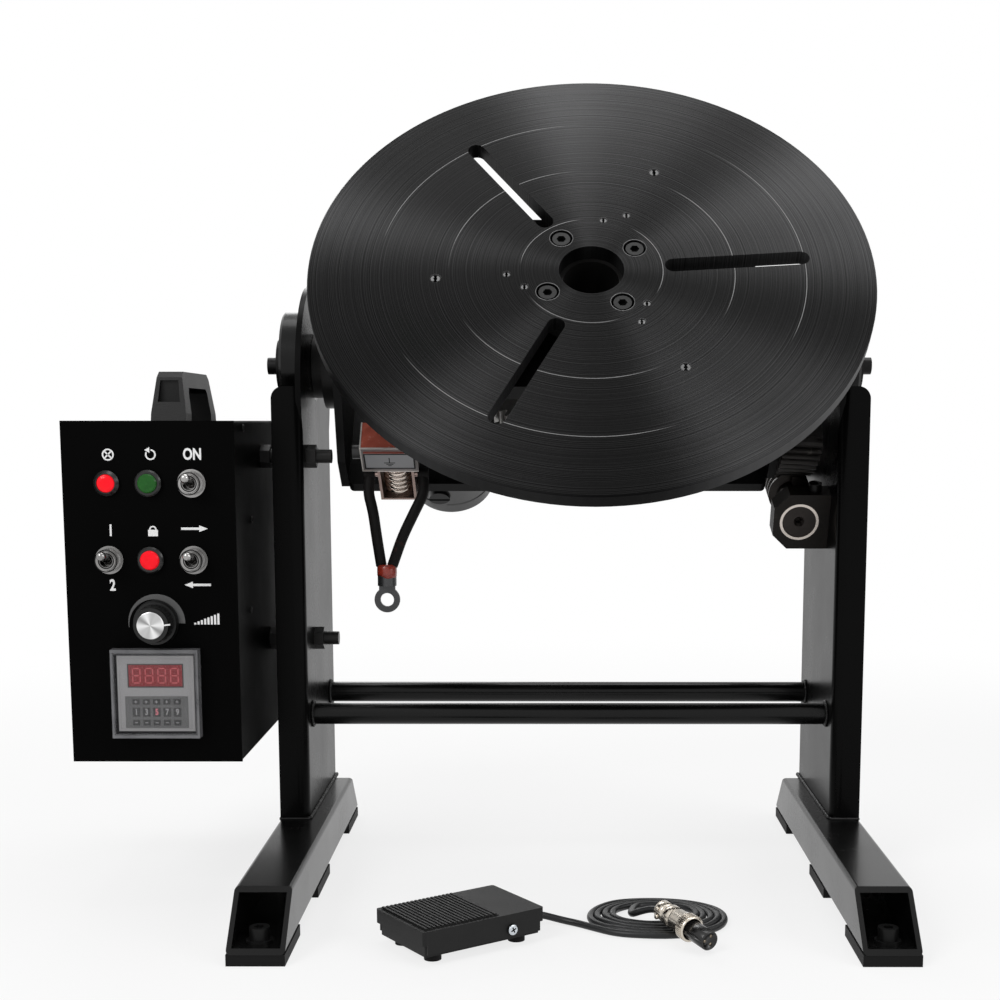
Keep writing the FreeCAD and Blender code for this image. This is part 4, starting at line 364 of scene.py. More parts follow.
def motorPaint(name, capAt, capRadius):
    # a grey can with a black brush cap in its side
    can = Finish(name, Metallic=0.3, Specular_IOR_Level=0.4)
    cloud = can.noise(14.0, 4.0, 0.6)
    fine = can.noise(900.0, 3.0, 0.55)
    far = can.length(can.offset(capAt))
    shell = can.mix(grey(0.085), grey(0.12), cloud.between(0.3, 0.7))
    tint = can.mix(grey(0.003), shell, far.between(capRadius, capRadius + 0.0003))
    can.feed(Base_Color=tint, Roughness=cloud * 0.15 + 0.26, Normal=can.bump(fine, 0.06, 0.0003))
    return can.material


motorCan = motorPaint("motorCan", (-0.04715, 0.12418, 0.27133), 0.0092)


def twoToned(name, axis, upper, lower, stubEnd):
    # bare metal whose faces across one axis took another colour, with a dark stub at its low X end
    metal = Finish(name, Metallic=0.8)
    facing = metal.along(metal.add("ShaderNodeTexCoord", out="Normal"), axis)
    cloud = metal.noise(160.0, 5.0, 0.65)
    fine = metal.noise(620.0, 3.0, 0.6)
    tint = metal.mix(lower, upper, facing.between(0.4, 0.6))
    tint = metal.mix(tint, (0.60, 0.55, 0.53, 1), cloud.between(0.56, 0.76) * 0.5)
    block = metal.along(metal.place(), sideways).between(stubEnd - 0.0004, stubEnd)
    tint = metal.mix(grey(0.035), tint, block)
    metal.feed(Base_Color=tint, Roughness=cloud * 0.3 + 0.22, Normal=metal.bump(fine, 0.15, 0.0003))
    return metal.material


earthMetal = twoToned("earthMetal", tableNormal, (0.44, 0.10, 0.065, 1), (0.27, 0.25, 0.245, 1), -0.0955)


def solid(name):
    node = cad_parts[name]
    return node if isinstance(node, bpy.types.Object) else bpy.data.objects[name]


def clothe(name, material):
    thing = solid(name)
    thing.data.materials.clear()
    thing.data.materials.append(material)
    for polygon in thing.data.polygons:
        polygon.material_index = 0


print("clothing the frame")
finishes = {
    powderCoat: ("foot_tubes", "crossbars", "trunnion_housings"),
    uprightShadedCoat: ("left_upright", "right_upright"),
    cradleCoat: ("cradle_ears", "cradle_base", "bearing_plate", "lower_housing", "gearbox"),
    motorCan: ("motor",),
    boxCoat: ("box_shell", "box_rear_cover"),
    panelInk: ("box_panel",),
    blackOxide: ("pillars", "trunnion_shafts", "spindle", "box_studs", "handwheel"),
    brownOxide: ("worm_blocks",),
    toothSteel: ("worm_sector",),
    darkScrew: ("foot_bolts", "block_screws", "trunnion_caps", "table_screws"),
    wormSteel: ("worm",),
    machined: ("spindle_gear", "drive_pinion", "spindle_bearings"),
    polishedRing: ("worm_bushes",),
    bronze: ("trunnion_bushes",),
    nickel: ("panel_switches", "power_lever", "mode_lever", "direction_lever"),
    earthMetal: ("earth_block",),
    bracketSteel: ("earth_bracket",),
    springWire: ("earth_spring",),
    tinned: ("earth_lug",),
    leadSleeve: ("earth_leads",),
    grainPlastic: ("box_handle",),
    pedalPlastic: ("pedal_base", "treadle", "pedal_switch"),
    knobPlastic: ("speed_knob", "rear_sockets"),
    bezelPlastic: ("button_bezels",),
    padRubber: ("foot_pads", "pedal_feet", "pedal_gland"),
    lampRed: ("pilot_lamp",),
    buttonRed: ("lock_button",),
    buttonGreen: ("reset_button",),
    timerFrame: ("timer",),
    timerClear: ("timer_cover",),
    boardGreen: ("drive_board",),
    tableSteel: ("table",),
    jacket: ("pedal_cord", "cord_coil", "cord_plug"),
}
for material, names in finishes.items():
    for name in names:
        clothe(name, material)


# Mesh helpers

def keep(mesh, name, material, body, smooth=True):
    # a finished mesh becomes a piece that rides on a body
    thing = bpy.data.objects.new(name, mesh)
    bpy.context.scene.collection.objects.link(thing)
    if material:
        mesh.materials.clear()
        mesh.materials.append(material)
    for polygon in mesh.polygons:
        polygon.use_smooth = smooth
    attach(thing, body)
    return thing


def fromBmesh(shape):
    bmesh.ops.remove_doubles(shape, verts=shape.verts, dist=1e-7)
    bmesh.ops.recalc_face_normals(shape, faces=shape.faces)
    mesh = bpy.data.meshes.new("piece")
    shape.to_mesh(mesh)
    shape.free()
    return mesh


def keepFlat(shape, name, material, body):
    return keep(fromBmesh(shape), name, material, body, smooth=False)


def lifted(place, height, x=0.0, y=0.0):
    # the same place, moved within itself
    return place @ Matrix.Translation((x, y, height))


def evaluated(thing):
    return bpy.data.meshes.new_from_object(thing.evaluated_get(bpy.context.evaluated_depsgraph_get()))


def basis(origin, out, side=None):
    # a matrix whose Z is out and whose X is close to side
    out = Vector(out).normalized()
    side = Vector(side) if side else (Vector((1, 0, 0)) if abs(out.x) < 0.9 else Vector((0, 1, 0)))
    across = (side - out * side.dot(out)).normalized()
    up = out.cross(across)
    turn = Matrix((across, up, out)).transposed().to_4x4()
    return Matrix.Translation(origin) @ turn


def turnedMesh(profile, matrix, count=48):
    # spins (radius, height) points about Z into a closed skin
    shape = bmesh.new()
    rings = []
    for radius, height in profile:
        if radius < 1e-6:
            rings.append([shape.verts.new(matrix @ Vector((0, 0, height)))])
        else:
            rings.append([shape.verts.new(matrix @ Vector((
                radius * math.cos(2 * math.pi * step / count),
                radius * math.sin(2 * math.pi * step / count), height))) for step in range(count)])
    closed = profile[0][0] > 1e-6 and profile[-1][0] > 1e-6
    pairs = list(zip(rings, rings[1:])) + ([(rings[-1], rings[0])] if closed else [])
    for low, high in pairs:
        for step in range(count):
            after = (step + 1) % count
            corners = [low[step % len(low)], low[after % len(low)], high[after % len(high)],
                       high[step % len(high)]]
            corners = list(dict.fromkeys(corners))
            if len(corners) > 2:
                shape.faces.new(corners)
    return shape


def slabMesh(outline, thickness, matrix, shape=None):
    # a flat outline, raised along Z
    shape = shape or bmesh.new()
    low = [shape.verts.new(matrix @ Vector((x, y, 0))) for x, y in outline]
    high = [shape.verts.new(matrix @ Vector((x, y, thickness))) for x, y in outline]
    shape.faces.new(low[::-1])
    shape.faces.new(high)
    for step in range(len(outline)):
        after = (step + 1) % len(outline)
        shape.faces.new((low[step], low[after], high[after], high[step]))
    return shape


def band(shape, matrix, inner, outer, start, end, thickness, count=32):
    # a flat arc; inner and outer are pairs, at its start and its end
    outline = []
    for pair, steps in ((outer, range(count + 1)), (inner, range(count, -1, -1))):
        for step in steps:
            share = step / count
            radius = pair[0] + (pair[1] - pair[0]) * share
            angle = math.radians(start + (end - start) * share)
            outline.append((radius * math.cos(angle), radius * math.sin(angle)))
    return slabMesh(outline, thickness, matrix, shape)


def joined(shape, other):
    # adds one finished form to another
    mesh = fromBmesh(other)
    shape.from_mesh(mesh)
    bpy.data.meshes.remove(mesh)
    return shape


def ring(shape, matrix, near, far, thickness, count=48):
    # a flat ring, raised along Z
    profile = [(near, 0.0), (near, thickness), (far, thickness), (far, 0.0)]
    return joined(shape, turnedMesh(profile, matrix, count))


def rectangle(width, height, x=0.0, y=0.0, turn=0.0):
    cos, sin = math.cos(turn), math.sin(turn)
    corners = ((-1, -1), (1, -1), (1, 1), (-1, 1))
    return [(x + cos * a * width / 2 - sin * b * height / 2, y + sin * a * width / 2 + cos * b * height / 2)
            for a, b in corners]


def framed(shape, matrix, width, height, border, thickness):
    # a rectangular frame made of four bars
    aside, above, inner = (width - border) / 2, (height - border) / 2, height - 2 * border
    for x, y, across, up in ((0, above, width, border), (0, -above, width, border), (aside, 0, border, inner),
                             (-aside, 0, border, inner)):
        slabMesh(rectangle(across, up, x, y), thickness, matrix, shape)
    return shape


def lettered(shape, words, height, matrix, thickness, squeeze=0.74):
    # plain numbers or ON, centred, as raised letters
    curve = bpy.data.curves.new("letters", "FONT")
    curve.body = words
    curve.align_x = "CENTER"
    curve.align_y = "CENTER"
    curve.size = height / 0.69
    curve.offset = height * 0.045
    curve.extrude = thickness / 2
    curve.resolution_u = 3
    thing = bpy.data.objects.new("letters", curve)
    bpy.context.scene.collection.objects.link(thing)
    mesh = evaluated(thing)
    lift = Matrix.Translation((0, 0, thickness / 2)) @ Matrix.Diagonal((squeeze, 1, 1, 1))
    mesh.transform(matrix @ lift)
    shape.from_mesh(mesh)
    bpy.data.meshes.remove(mesh)
    bpy.data.objects.remove(thing)
    return shape


class Pattern:
    # a Geometry Nodes tree: its sizes are named inputs, and make() gives a plain mesh
    def __init__(self, name, sizes):
        self.tree = bpy.data.node_groups.new(name, "GeometryNodeTree")
        self.tree.interface.new_socket("Geometry", in_out="INPUT", socket_type="NodeSocketGeometry")
        self.tree.interface.new_socket("Geometry", in_out="OUTPUT", socket_type="NodeSocketGeometry")
        self.keys = {}
        for label, kind in sizes.items():
            socket = self.tree.interface.new_socket(label, in_out="INPUT", socket_type="NodeSocket" + kind)
            self.keys[label] = socket.identifier
        self.given = self.tree.nodes.new("NodeGroupInput")
        self.result = self.tree.nodes.new("NodeGroupOutput")

    def size(self, label):
        return self.given.outputs[label]

    def add(self, kind, settings=None, inputs=None, out=0):
        return addNode(self.tree, kind, settings, inputs, out)

    def close(self, geometry, material):
        real = self.add("GeometryNodeRealizeInstances", {}, {0: geometry})
        clad = self.add("GeometryNodeSetMaterial", {}, {"Geometry": real, "Material": material})
        self.tree.links.new(clad, self.result.inputs[0])
        return self

    def make(self, base, **sizes):
        carrier = bpy.data.objects.new("carrier", base)
        bpy.context.scene.collection.objects.link(carrier)
        modifier = carrier.modifiers.new("pattern", "NODES")
        modifier.node_group = self.tree
        for label, amount in sizes.items():
            modifier[self.keys[label]] = amount
        mesh = evaluated(carrier)
        carrier.modifiers.remove(modifier)
        bpy.data.objects.remove(carrier)
        return mesh


def pathMesh(lines):
    # bare edges that a pattern follows
    shape = bmesh.new()
    for line in lines:
        corners = [shape.verts.new(point) for point in line]
        for first, second in zip(corners, corners[1:]):
            shape.edges.new((first, second))
    mesh = bpy.data.meshes.new("path")
    shape.to_mesh(mesh)
    shape.free()
    return mesh


print("laying the pedal's cord")
cordParts = {"diameter": 0.0047, "turns": 4.75, "stepsInTurn": 16, "firstAngle": 214,
             "middle": (0.056, -0.190), "drift": (0.001, 0.0086), "outer": (0.0493, 0.0389),
             "shrink": (0.0236, 0.0193), "wobble": 0.012, "height": 0.00245, "hump": 0.0005,
             "lead": ((-0.0173, -0.1969, 0.0060), (-0.0061, -0.1977, 0.0032), (0.0041, -0.2023, 0.0025)),
             "tail": ((0.0385, -0.1955, 0.0062), (0.0460, -0.2005, 0.0106), (0.0542, -0.2062, 0.0142),
                      (0.0610, -0.2136, 0.0142))}


def cordRoute():
    # out of the pedal, round and round the coil, and up over it to the plug
    def near(x, y, z):
        return Vector((standX + x, standY + y, z))
    points = [pedalPoint(0.0435, 0, 0.0096), pedalPoint(0.0545, 0, 0.0092)]
    points += [near(*spot) for spot in cordParts["lead"]]
    steps = int(cordParts["turns"] * cordParts["stepsInTurn"])
    for step in range(steps + 1):
        share = step / steps
        angle = math.radians(cordParts["firstAngle"] + 360 * cordParts["turns"] * share)
        wobble = 1 + cordParts["wobble"] * math.sin(step * 1.7)
        outwards = (math.cos(angle), math.sin(angle))
        x, y = (cordParts["middle"][axis] + cordParts["drift"][axis] * share
                + (cordParts["outer"][axis] - cordParts["shrink"][axis] * share) * wobble * outwards[axis]
                for axis in (0, 1))
        points.append(near(x, y, cordParts["height"] + (cordParts["hump"] if step % 5 == 2 else 0)))
    return points + [near(*spot) for spot in cordParts["tail"]]


def splineCurve(name, points):
    # one open NURBS spline along the points
    curve = bpy.data.curves.new(name, "CURVE")
    curve.dimensions = "3D"
    spline = curve.splines.new("NURBS")
    spline.points.add(len(points) - 1)
    for target, point in zip(spline.points, points):
        target.co = (*point, 1)
    spline.order_u = 3
    spline.use_endpoint_u = True
    thing = bpy.data.objects.new(name, curve)
    bpy.context.scene.collection.objects.link(thing)
    return thing


def smoothTube(name, points, radius, material, body):
    # a round tube along a smooth spline, kept as a curve
    thing = splineCurve(name, points)
    thing.data.bevel_depth = radius
    thing.data.bevel_resolution = 5
    thing.data.use_fill_caps = True
    thing.data.splines[0].resolution_u = 4
    thing.data.materials.append(material)
    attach(thing, body)
    return thing


def splineLength(points):
    thing = splineCurve("measure", points)
    mesh = evaluated(thing)
    total = sum((mesh.vertices[edge.vertices[0]].co - mesh.vertices[edge.vertices[1]].co).length
                for edge in mesh.edges)
    bpy.data.meshes.remove(mesh)
    bpy.data.objects.remove(thing)
    return total


plugParts = {"back": 0.005, "clamp": 0.0065, "body": 0.0073, "ring": 0.009, "insert": 0.0064, "teeth": 44}
plugStart = Vector((standX + 0.061, standY - 0.2136, 0.0142))
plugAxis = (Vector((standX + 0.0877, standY - 0.2602, 0.0083)) - plugStart).normalized()
plugStart = plugStart - plugAxis * plugParts["back"]
plugPlace = basis(plugStart, plugAxis, upwards)


def plugShell():
    # nickel shell: cable clamp with two screws, neck, body with flats, and a knurled ring
    body, clamp, nut = plugParts["body"], plugParts["clamp"], plugParts["ring"]
    shape = turnedMesh([(0.0024, 0.0), (clamp - 0.0008, 0.0), (clamp, 0.0008), (clamp, 0.0075),
                        (clamp - 0.0006, 0.0082), (0.0052, 0.0084), (0.0052, 0.0102), (body - 0.0006, 0.0104),
                        (body, 0.011), (body, 0.0165), (body - 0.0005, 0.0172), (body - 0.0005, 0.0182),
                        (body, 0.0189), (body, 0.0275), (nut - 0.0012, 0.0282), (nut - 0.0004, 0.0288),
                        (nut - 0.0004, 0.0352), (nut - 0.0011, 0.0360), (0.0069, 0.0360), (0.0069, 0.0300),
                        (0.0024, 0.0300)], plugPlace, 56)
    for side in (-1, 1):
        head = plugPlace @ basis((side * 0.0028, clamp - 0.0008, 0.0042), (0, 1, 0))
        joined(shape, turnedMesh([(0.0, 0.0), (0.0017, 0.0), (0.0017, 0.0013), (0.0013, 0.0017),
                                  (0.0, 0.0017)], head, 20))
    return keep(fromBmesh(shape), "plugShell", plugNickel, "stand")


def plugKnurl():
    # the ring's knurl: narrow ridges round it, laid by a pattern
    knurl = Pattern("knurl", {"Count": "Int", "Radius": "Float", "Length": "Float", "Width": "Float"})
    circle = knurl.add("GeometryNodeCurvePrimitiveCircle", {}, {"Resolution": knurl.size("Count"),
                                                                "Radius": knurl.size("Radius")})
    size = knurl.add("ShaderNodeCombineXYZ", {}, {"X": knurl.size("Width"), "Y": knurl.size("Width"),
                                                  "Z": knurl.size("Length")})
    ridge = knurl.add("GeometryNodeMeshCube", {}, {"Size": size})
    tangent = knurl.add("GeometryNodeInputTangent")
    turn = knurl.add("FunctionNodeAlignRotationToVector", {"axis": "X"}, {"Vector": tangent})
    teeth = knurl.add("GeometryNodeInstanceOnPoints", {}, {"Points": circle, "Instance": ridge,
                                                           "Rotation": turn})
    knurl.close(teeth, plugNickel)
    mesh = knurl.make(pathMesh([[(0, 0, 0), (0, 0, 0.001)]]), Count=plugParts["teeth"],
                      Radius=plugParts["ring"] - 0.0005, Length=0.0056, Width=0.0008)
    mesh.transform(lifted(plugPlace, 0.0320))
    return keep(mesh, "plugKnurl", None, "stand", smooth=False)


def plugInsert():
    # black insert with a key and three sockets
    radius = plugParts["insert"]
    shape = turnedMesh([(0.0, 0.0295), (radius, 0.0295), (radius, 0.0542), (radius - 0.0006, 0.0548),
                        (radius - 0.0011, 0.0548), (radius - 0.0011, 0.0538), (0.0, 0.0538)], plugPlace, 48)
    slabMesh(rectangle(0.0022, 0.0016, 0.0, radius), 0.0235, lifted(plugPlace, 0.0305), shape)
    return keep(fromBmesh(shape), "plugInsert", bezelPlastic, "stand")


def plugSockets():
    circle, radius, sides = 0.0031, 0.0011, 16
    shape = bmesh.new()
    for step in range(3):
        angle = math.radians(90 + 120 * step)
        spot = lifted(plugPlace, 0.05378, circle * math.cos(angle), circle * math.sin(angle))
        corners = [2 * math.pi * turn / sides for turn in range(sides)]
        outline = [(radius * math.cos(corner), radius * math.sin(corner)) for corner in corners]
        slabMesh(outline, 0.0001, spot, shape)
    return keep(fromBmesh(shape), "plugSockets", plugBrass, "stand")


route = cordRoute()
pedalLead = smoothTube("pedalLead", route, cordParts["diameter"] / 2, jacket, "stand")
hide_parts("pedal_cord", "cord_coil")
shell = plugShell()
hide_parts("cord_plug")
plugPieces = [shell, plugKnurl(), plugInsert(), plugSockets()]
leadLength = splineLength(route)
print("cord length", round(leadLength, 3))


print("marking the panel")
panelMarks = {"rise": 0.00022, "capital": 0.0073, "rowTop": 0.2095, "rowMiddle": 0.1585, "rowFoot": 0.1215,
              "left": -0.0265, "middle": 0.002, "right": 0.030}
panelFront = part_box("box_panel")[0].y
knobParts = {"centre": (0.0025, 0.0964), "cap": 0.0091, "rise": 0.0005, "pointer": 0.0010}


def onPanel(x, z):
    # a place on the panel's front whose X runs right, Y up and Z out of the panel
    return basis(boxPoint(x, 0, z), forwards, sideways)


def arrow(shape, x, z, way, length=0.018):
    head, half, shaft = 0.0058, 0.0022, 0.0008
    tip = way * length / 2
    neck = tip - way * head
    outline = [(-tip, -shaft), (neck, -shaft), (neck, -half), (tip, 0), (neck, half), (neck, shaft),
               (-tip, shaft)]
    slabMesh(outline if way > 0 else outline[::-1], panelMarks["rise"], onPanel(x, z), shape)


def panelSigns():
    shape = bmesh.new()
    rise, top, middle = panelMarks["rise"], panelMarks["rowTop"], panelMarks["rowMiddle"]
    lamp = onPanel(panelMarks["left"], top)
    ring(shape, lamp, 0.0030, 0.0040, rise, 40)
    for turn in (math.pi / 4, -math.pi / 4):
        slabMesh(rectangle(0.0062, 0.0010, turn=turn), rise, lamp, shape)
    back = onPanel(panelMarks["middle"], top)
    band(shape, back, (0.0026, 0.0026), (0.0036, 0.0036), -210, 85, rise, 40)
    slabMesh([(-0.0006, 0.0050), (-0.0006, 0.0012), (-0.0040, 0.0031)][::-1], rise, back, shape)
    lettered(shape, "ON", panelMarks["capital"], onPanel(panelMarks["right"], top), rise)
    lettered(shape, "1", panelMarks["capital"], onPanel(panelMarks["left"], middle), rise)
    lettered(shape, "2", panelMarks["capital"], onPanel(panelMarks["left"], panelMarks["rowFoot"]), rise)
    lock = onPanel(panelMarks["middle"], middle)
    slabMesh(rectangle(0.0066, 0.0044, 0, -0.0014), rise, lock, shape)
    band(shape, lifted(lock, 0, y=0.0009), (0.0016, 0.0016), (0.0025, 0.0025), 0, 180, rise, 20)
    arrow(shape, 0.030, 0.160, 1)
    arrow(shape, 0.031, 0.122, -1)
    for step in range(8):
        tall = 0.0012 + 0.0009 * step
        slabMesh(rectangle(0.0014, tall, 0.0286 + 0.00225 * step, tall / 2), rise, onPanel(0, 0.0950), shape)
    keepFlat(shape, "panelSigns", markWhite, "stand")

    wedge = bmesh.new()
    band(wedge, onPanel(*knobParts["centre"]), (0.0189, 0.0126), (0.0193, 0.0193), 190, -2, rise, 60)
    keepFlat(wedge, "speedWedge", markGrey, "stand")


panelSigns()


def knobCap():
    lowest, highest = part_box("speed_knob")
    centre = (lowest + highest) / 2
    centre.y = lowest.y
    cap = knobParts["cap"]
    place = basis(centre, forwards, sideways)
    shape = turnedMesh([(0.0, -0.0005), (cap, -0.0005), (cap, 0.0002), (cap - 0.0005, knobParts["rise"]),
                        (0.0, knobParts["rise"])], place, 64)
    keepFlat(shape, "knobCap", spunCap("capSilver", centre, forwards), "speed_knob")
    line = slabMesh(rectangle(0.0045, knobParts["pointer"], cap + 0.0019, 0.0005, 0.12), 0.0007,
                    lifted(place, -0.0005))
    keepFlat(line, "knobPointer", markWhite, "speed_knob")


knobCap()


# the dark rings are painted shade, laid where the toggle nuts have grooves
ringParts = {"dark": ((0.0070, 0.0077), (0.0046, 0.0054)), "thick": 0.0002, "lamp": (0.0062, 0.0086),
             "collar": 0.0006}


def frontAt(name, x, z, near, far):
    # the foremost Y of a solid between two distances from a line along Y
    found = [point.co.y for point in solid(name).data.vertices
             if near - 0.0004 <= math.hypot(point.co.x - x, point.co.z - z) <= far + 0.0004]
    return min(found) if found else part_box(name)[0].y


def panelRings():
    # painted shade: thin dark rings on the fronts of the toggle nuts, where their grooves are
    grooveShade = bmesh.new()
    for lever, button in (("power_lever", "reset_button"), ("mode_lever", "lock_button"),
                          ("direction_lever", "lock_button")):
        x = sum(corner.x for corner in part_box(lever)) / 2
        z = sum(corner.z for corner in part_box(button)) / 2
        for near, far in ringParts["dark"]:
            front = Vector((x, frontAt("panel_switches", x, z, near, far), z))
            ring(grooveShade, basis(front, forwards, sideways), near, far, ringParts["thick"])
    keepFlat(grooveShade, "toggleGrooveShade", darkScrew, "stand")
    lowest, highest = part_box("pilot_lamp")
    x, z = (lowest.x + highest.x) / 2, (lowest.z + highest.z) / 2
    near, far = ringParts["lamp"]
    foot = Vector((x, panelFront, z))
    tall = panelFront - frontAt("pilot_lamp", x, z, near, near) + ringParts["collar"]
    collar = turnedMesh([(near - 0.0002, tall - 0.0012), (near, tall), (near + 0.0005, tall),
                         (far, tall * 0.45), (far, 0.0)], basis(foot, forwards, sideways), 56)
    keepFlat(collar, "lampCollar", bezelPlastic, "stand")


panelRings()


print("filling the timer")
timerParts = {"centre": (0.0017, 0.0484), "face": 0.052, "display": (0.0367, 0.015), "displayUp": 0.0123,
              "band": (0.0427, 0.0218), "bandUp": -0.0128, "pitch": 0.0070, "digit": 0.0040}
segments = {"a": (0, 1), "b": (0.5, 0.5), "c": (0.5, -0.5), "d": (0, -1), "e": (-0.5, -0.5), "f": (-0.5, 0.5),
            "g": (0, 0)}


def timerPlace(x, z, rise):
    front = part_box("timer")[0].y
    spot = boxPoint(timerParts["centre"][0] + x, 0, timerParts["centre"][1] + z)
    spot.y = front
    return lifted(basis(spot, forwards, sideways), rise)


def timerFace():
    side = timerParts["face"]
    face = slabMesh(rectangle(side, side), 0.0008, timerPlace(0, 0, 0))
    keepFlat(face, "timerFace", timerGrey, "stand")
    wide, tall = timerParts["display"]
    up = timerParts["displayUp"]
    rim = framed(bmesh.new(), timerPlace(0, up, 0.0008), wide + 0.0012, tall + 0.0012, 0.0007, 0.0003)
    keepFlat(rim, "displayRim", timerWell, "stand")
    window = slabMesh(rectangle(wide, tall), 0.0001, timerPlace(0, up, 0.0008))
    keepFlat(window, "displayWindow", displayRed, "stand")
    digits = bmesh.new()
    digitWide, digitTall = 0.0050, 0.0050
    for index in range(4):
        middle = (index - 1.5) * 0.0086
        for label, (aside, level) in segments.items():
            flat = label in "adg"
            bar = rectangle(digitWide * 0.72 if flat else 0.0008, 0.0008 if flat else digitTall * 0.8,
                            middle + aside * digitWide, level * digitTall)
            slabMesh(bar, 0.00008, timerPlace(0, up, 0.0009), digits)
    keepFlat(digits, "displayDigits", digitRed, "stand")


def thumbWheels():
    # five number wheels with a button above and below each
    bandUp, pitch, digit = timerParts["bandUp"], timerParts["pitch"], timerParts["digit"]
    plate = slabMesh(rectangle(*timerParts["band"]), 0.0003, timerPlace(0.0003, bandUp, 0.0008))
    keepFlat(plate, "wheelPlate", timerBand, "stand")
    wells, pads, signs, numbers, single = (bmesh.new() for _ in range(5))
    for index in range(5):
        x = (index - 2) * pitch + 0.0003
        slabMesh(rectangle(0.0052, 0.0062), 0.00008, timerPlace(x, bandUp, 0.0011), wells)
        for side in (-1, 1):
            spot = timerPlace(x, bandUp + side * 0.0072, 0.0011)
            slabMesh(rectangle(0.0046, 0.0036), 0.0006, spot, pads)
            slabMesh(rectangle(0.0020, 0.0005), 0.00008, lifted(spot, 0.0006), signs)
            if side > 0:
                slabMesh(rectangle(0.0005, 0.0020), 0.00008, lifted(spot, 0.0006), signs)
        lettered(single if index == 2 else numbers, str((index * 2 + 1) % 10), digit,
                 timerPlace(x, bandUp, 0.00118), 0.00006, 0.8)
    for shape, name, material in ((wells, "wheelWells", timerWell), (pads, "wheelPads", timerWell),
                                  (signs, "wheelSigns", timerGrey), (numbers, "wheelNumbers", timerGrey),
                                  (single, "wheelMiddle", digitPink)):
        keepFlat(shape, name, material, "stand")


timerFace()
thumbWheels()


print("dressing the earth terminal")
earthParts = {"centre": -0.0748, "front": -0.088, "plate": 0.0012, "width": 0.0372, "height": 0.0172,
              "low": -0.016, "high": 0.010, "half": 0.0205}


def earthPlate():
    middle = (earthParts["low"] + earthParts["high"]) / 2
    spot = tiltPoint(earthParts["centre"], earthParts["front"] - earthParts["plate"], middle)
    place = basis(spot, -tableUphill, sideways)
    width, height = earthParts["width"], earthParts["height"]
    plate = slabMesh(rectangle(width, height), 0.0003, place)
    keepFlat(plate, "earthPlate", labelPlate, "cradle")
    ink = framed(bmesh.new(), lifted(place, 0.0003), width, height, 0.0011, 0.0001)
    sign = lifted(place, 0.0003, y=-0.0008)
    for level, wide in ((-0.0010, 0.0080), (-0.0026, 0.0052), (-0.0042, 0.0024)):
        slabMesh(rectangle(wide, 0.0007, 0, level), 0.0001, sign, ink)
    slabMesh(rectangle(0.0007, 0.0058, 0, 0.0019), 0.0001, sign, ink)
    keepFlat(ink, "earthSign", labelInk, "cradle")


def earthEdges():
    # bright strips along four of the block's milled edges
    centre, half, front = earthParts["centre"], earthParts["half"], earthParts["front"]
    low, high = earthParts["low"], earthParts["high"]
    shape = bmesh.new()
    edge = 0.0009

    def bar(first, last, out):
        along = last - first
        slabMesh(rectangle(edge, edge), along.length, basis(first, along, out), shape)
    left, right = centre - half, centre + half
    bar(tiltPoint(left, front, high), tiltPoint(right, front, high), tableNormal)
    bar(tiltPoint(left, front, low), tiltPoint(left, front, high), tableUphill)
    bar(tiltPoint(left, front, high), tiltPoint(left, front + 0.024, high), tableNormal)
    bar(tiltPoint(left, front, low), tiltPoint(right, front, low), tableNormal)
    keepFlat(shape, "earthEdges", brightEdge, "cradle")


shrinkParts = {"radii": (0.0073, 0.00735, 0.0073, 0.0062), "lifts": (0.0, 0.003, 0.0075, 0.0088),
               "below": 0.0080, "waves": ((2, 0.6, 0.0012), (5, 0.0, 0.0004)), "sides": 40}


def heatShrink():
    # a red sleeve over the top of the lug's barrel, with a wavy lower edge
    lowest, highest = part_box("earth_lug")
    centre = (lowest + highest) / 2
    count = shrinkParts["sides"]
    shape = bmesh.new()
    rows = []
    for level, (radius, lift) in enumerate(zip(shrinkParts["radii"], shrinkParts["lifts"])):
        row = []
        for step in range(count):
            angle = 2 * math.pi * step / count
            if level == 0:
                lift = sum(tall * math.sin(angle * often + turn)
                           for often, turn, tall in shrinkParts["waves"])
            row.append(shape.verts.new((centre.x + radius * math.cos(angle),
                                        centre.y + radius * math.sin(angle),
                                        highest.z - shrinkParts["below"] + lift)))
        rows.append(row)
    for low, high in zip(rows, rows[1:]):
        for step in range(count):
            after = (step + 1) % count
            shape.faces.new((low[step], low[after], high[after], high[step]))
    shape.faces.new(rows[-1])
    shape.faces.new(rows[0][::-1])
    keep(fromBmesh(shape), "heatShrink", shrinkRed, "earth_leads")


earthPlate()
earthEdges()
heatShrink()


print("finishing holes, screws and welds")
rimParts = {"taps": ((0.050, 75, 0.0025), (0.060, 60, 0.0025), (0.110, 60, 0.0034)), "turn": 4.4,
            "rise": 0.00006, "width": 0.0006, "seat": 0.0083, "seatCircle": 0.0375, "seatTurn": 34.4}


def tablePlace(circle, turn, rise=0.0):
    angle = math.radians(turn)
    spot = tableFace + Vector(sideways) * circle * math.cos(angle) + tableUphill * circle * math.sin(angle)
    return lifted(basis(spot, tableNormal, sideways), rise)


def tappedHoles():
    # the circle, turn and radius of each tapped hole
    return [(circle, rimParts["turn"] + 120 * index + aside, radius) for index in range(3)
            for circle, aside, radius in rimParts["taps"]]


def holeRims():
    # countersunk mouths of the tapped holes, and the rims of the screw seats
    shape = bmesh.new()
    rise, width, seat = rimParts["rise"], rimParts["width"], rimParts["seat"]
    for circle, turn, radius in tappedHoles():
        inner = radius - 0.0001
        joined(shape, turnedMesh([(radius + width, 0.0), (radius + width, rise), (inner, rise - 0.0005),
                                  (inner, -0.0007)], tablePlace(circle, turn), 28))
    for index in range(4):
        place = tablePlace(rimParts["seatCircle"], rimParts["seatTurn"] + 90 * index)
        joined(shape, turnedMesh([(seat + 0.0003, 0.0), (seat + 0.0003, rise), (seat - 0.0002, rise),
                                  (seat - 0.0002, -0.0002)], place, 40))
    keep(fromBmesh(shape), "holeRims", rimSteel, "table")


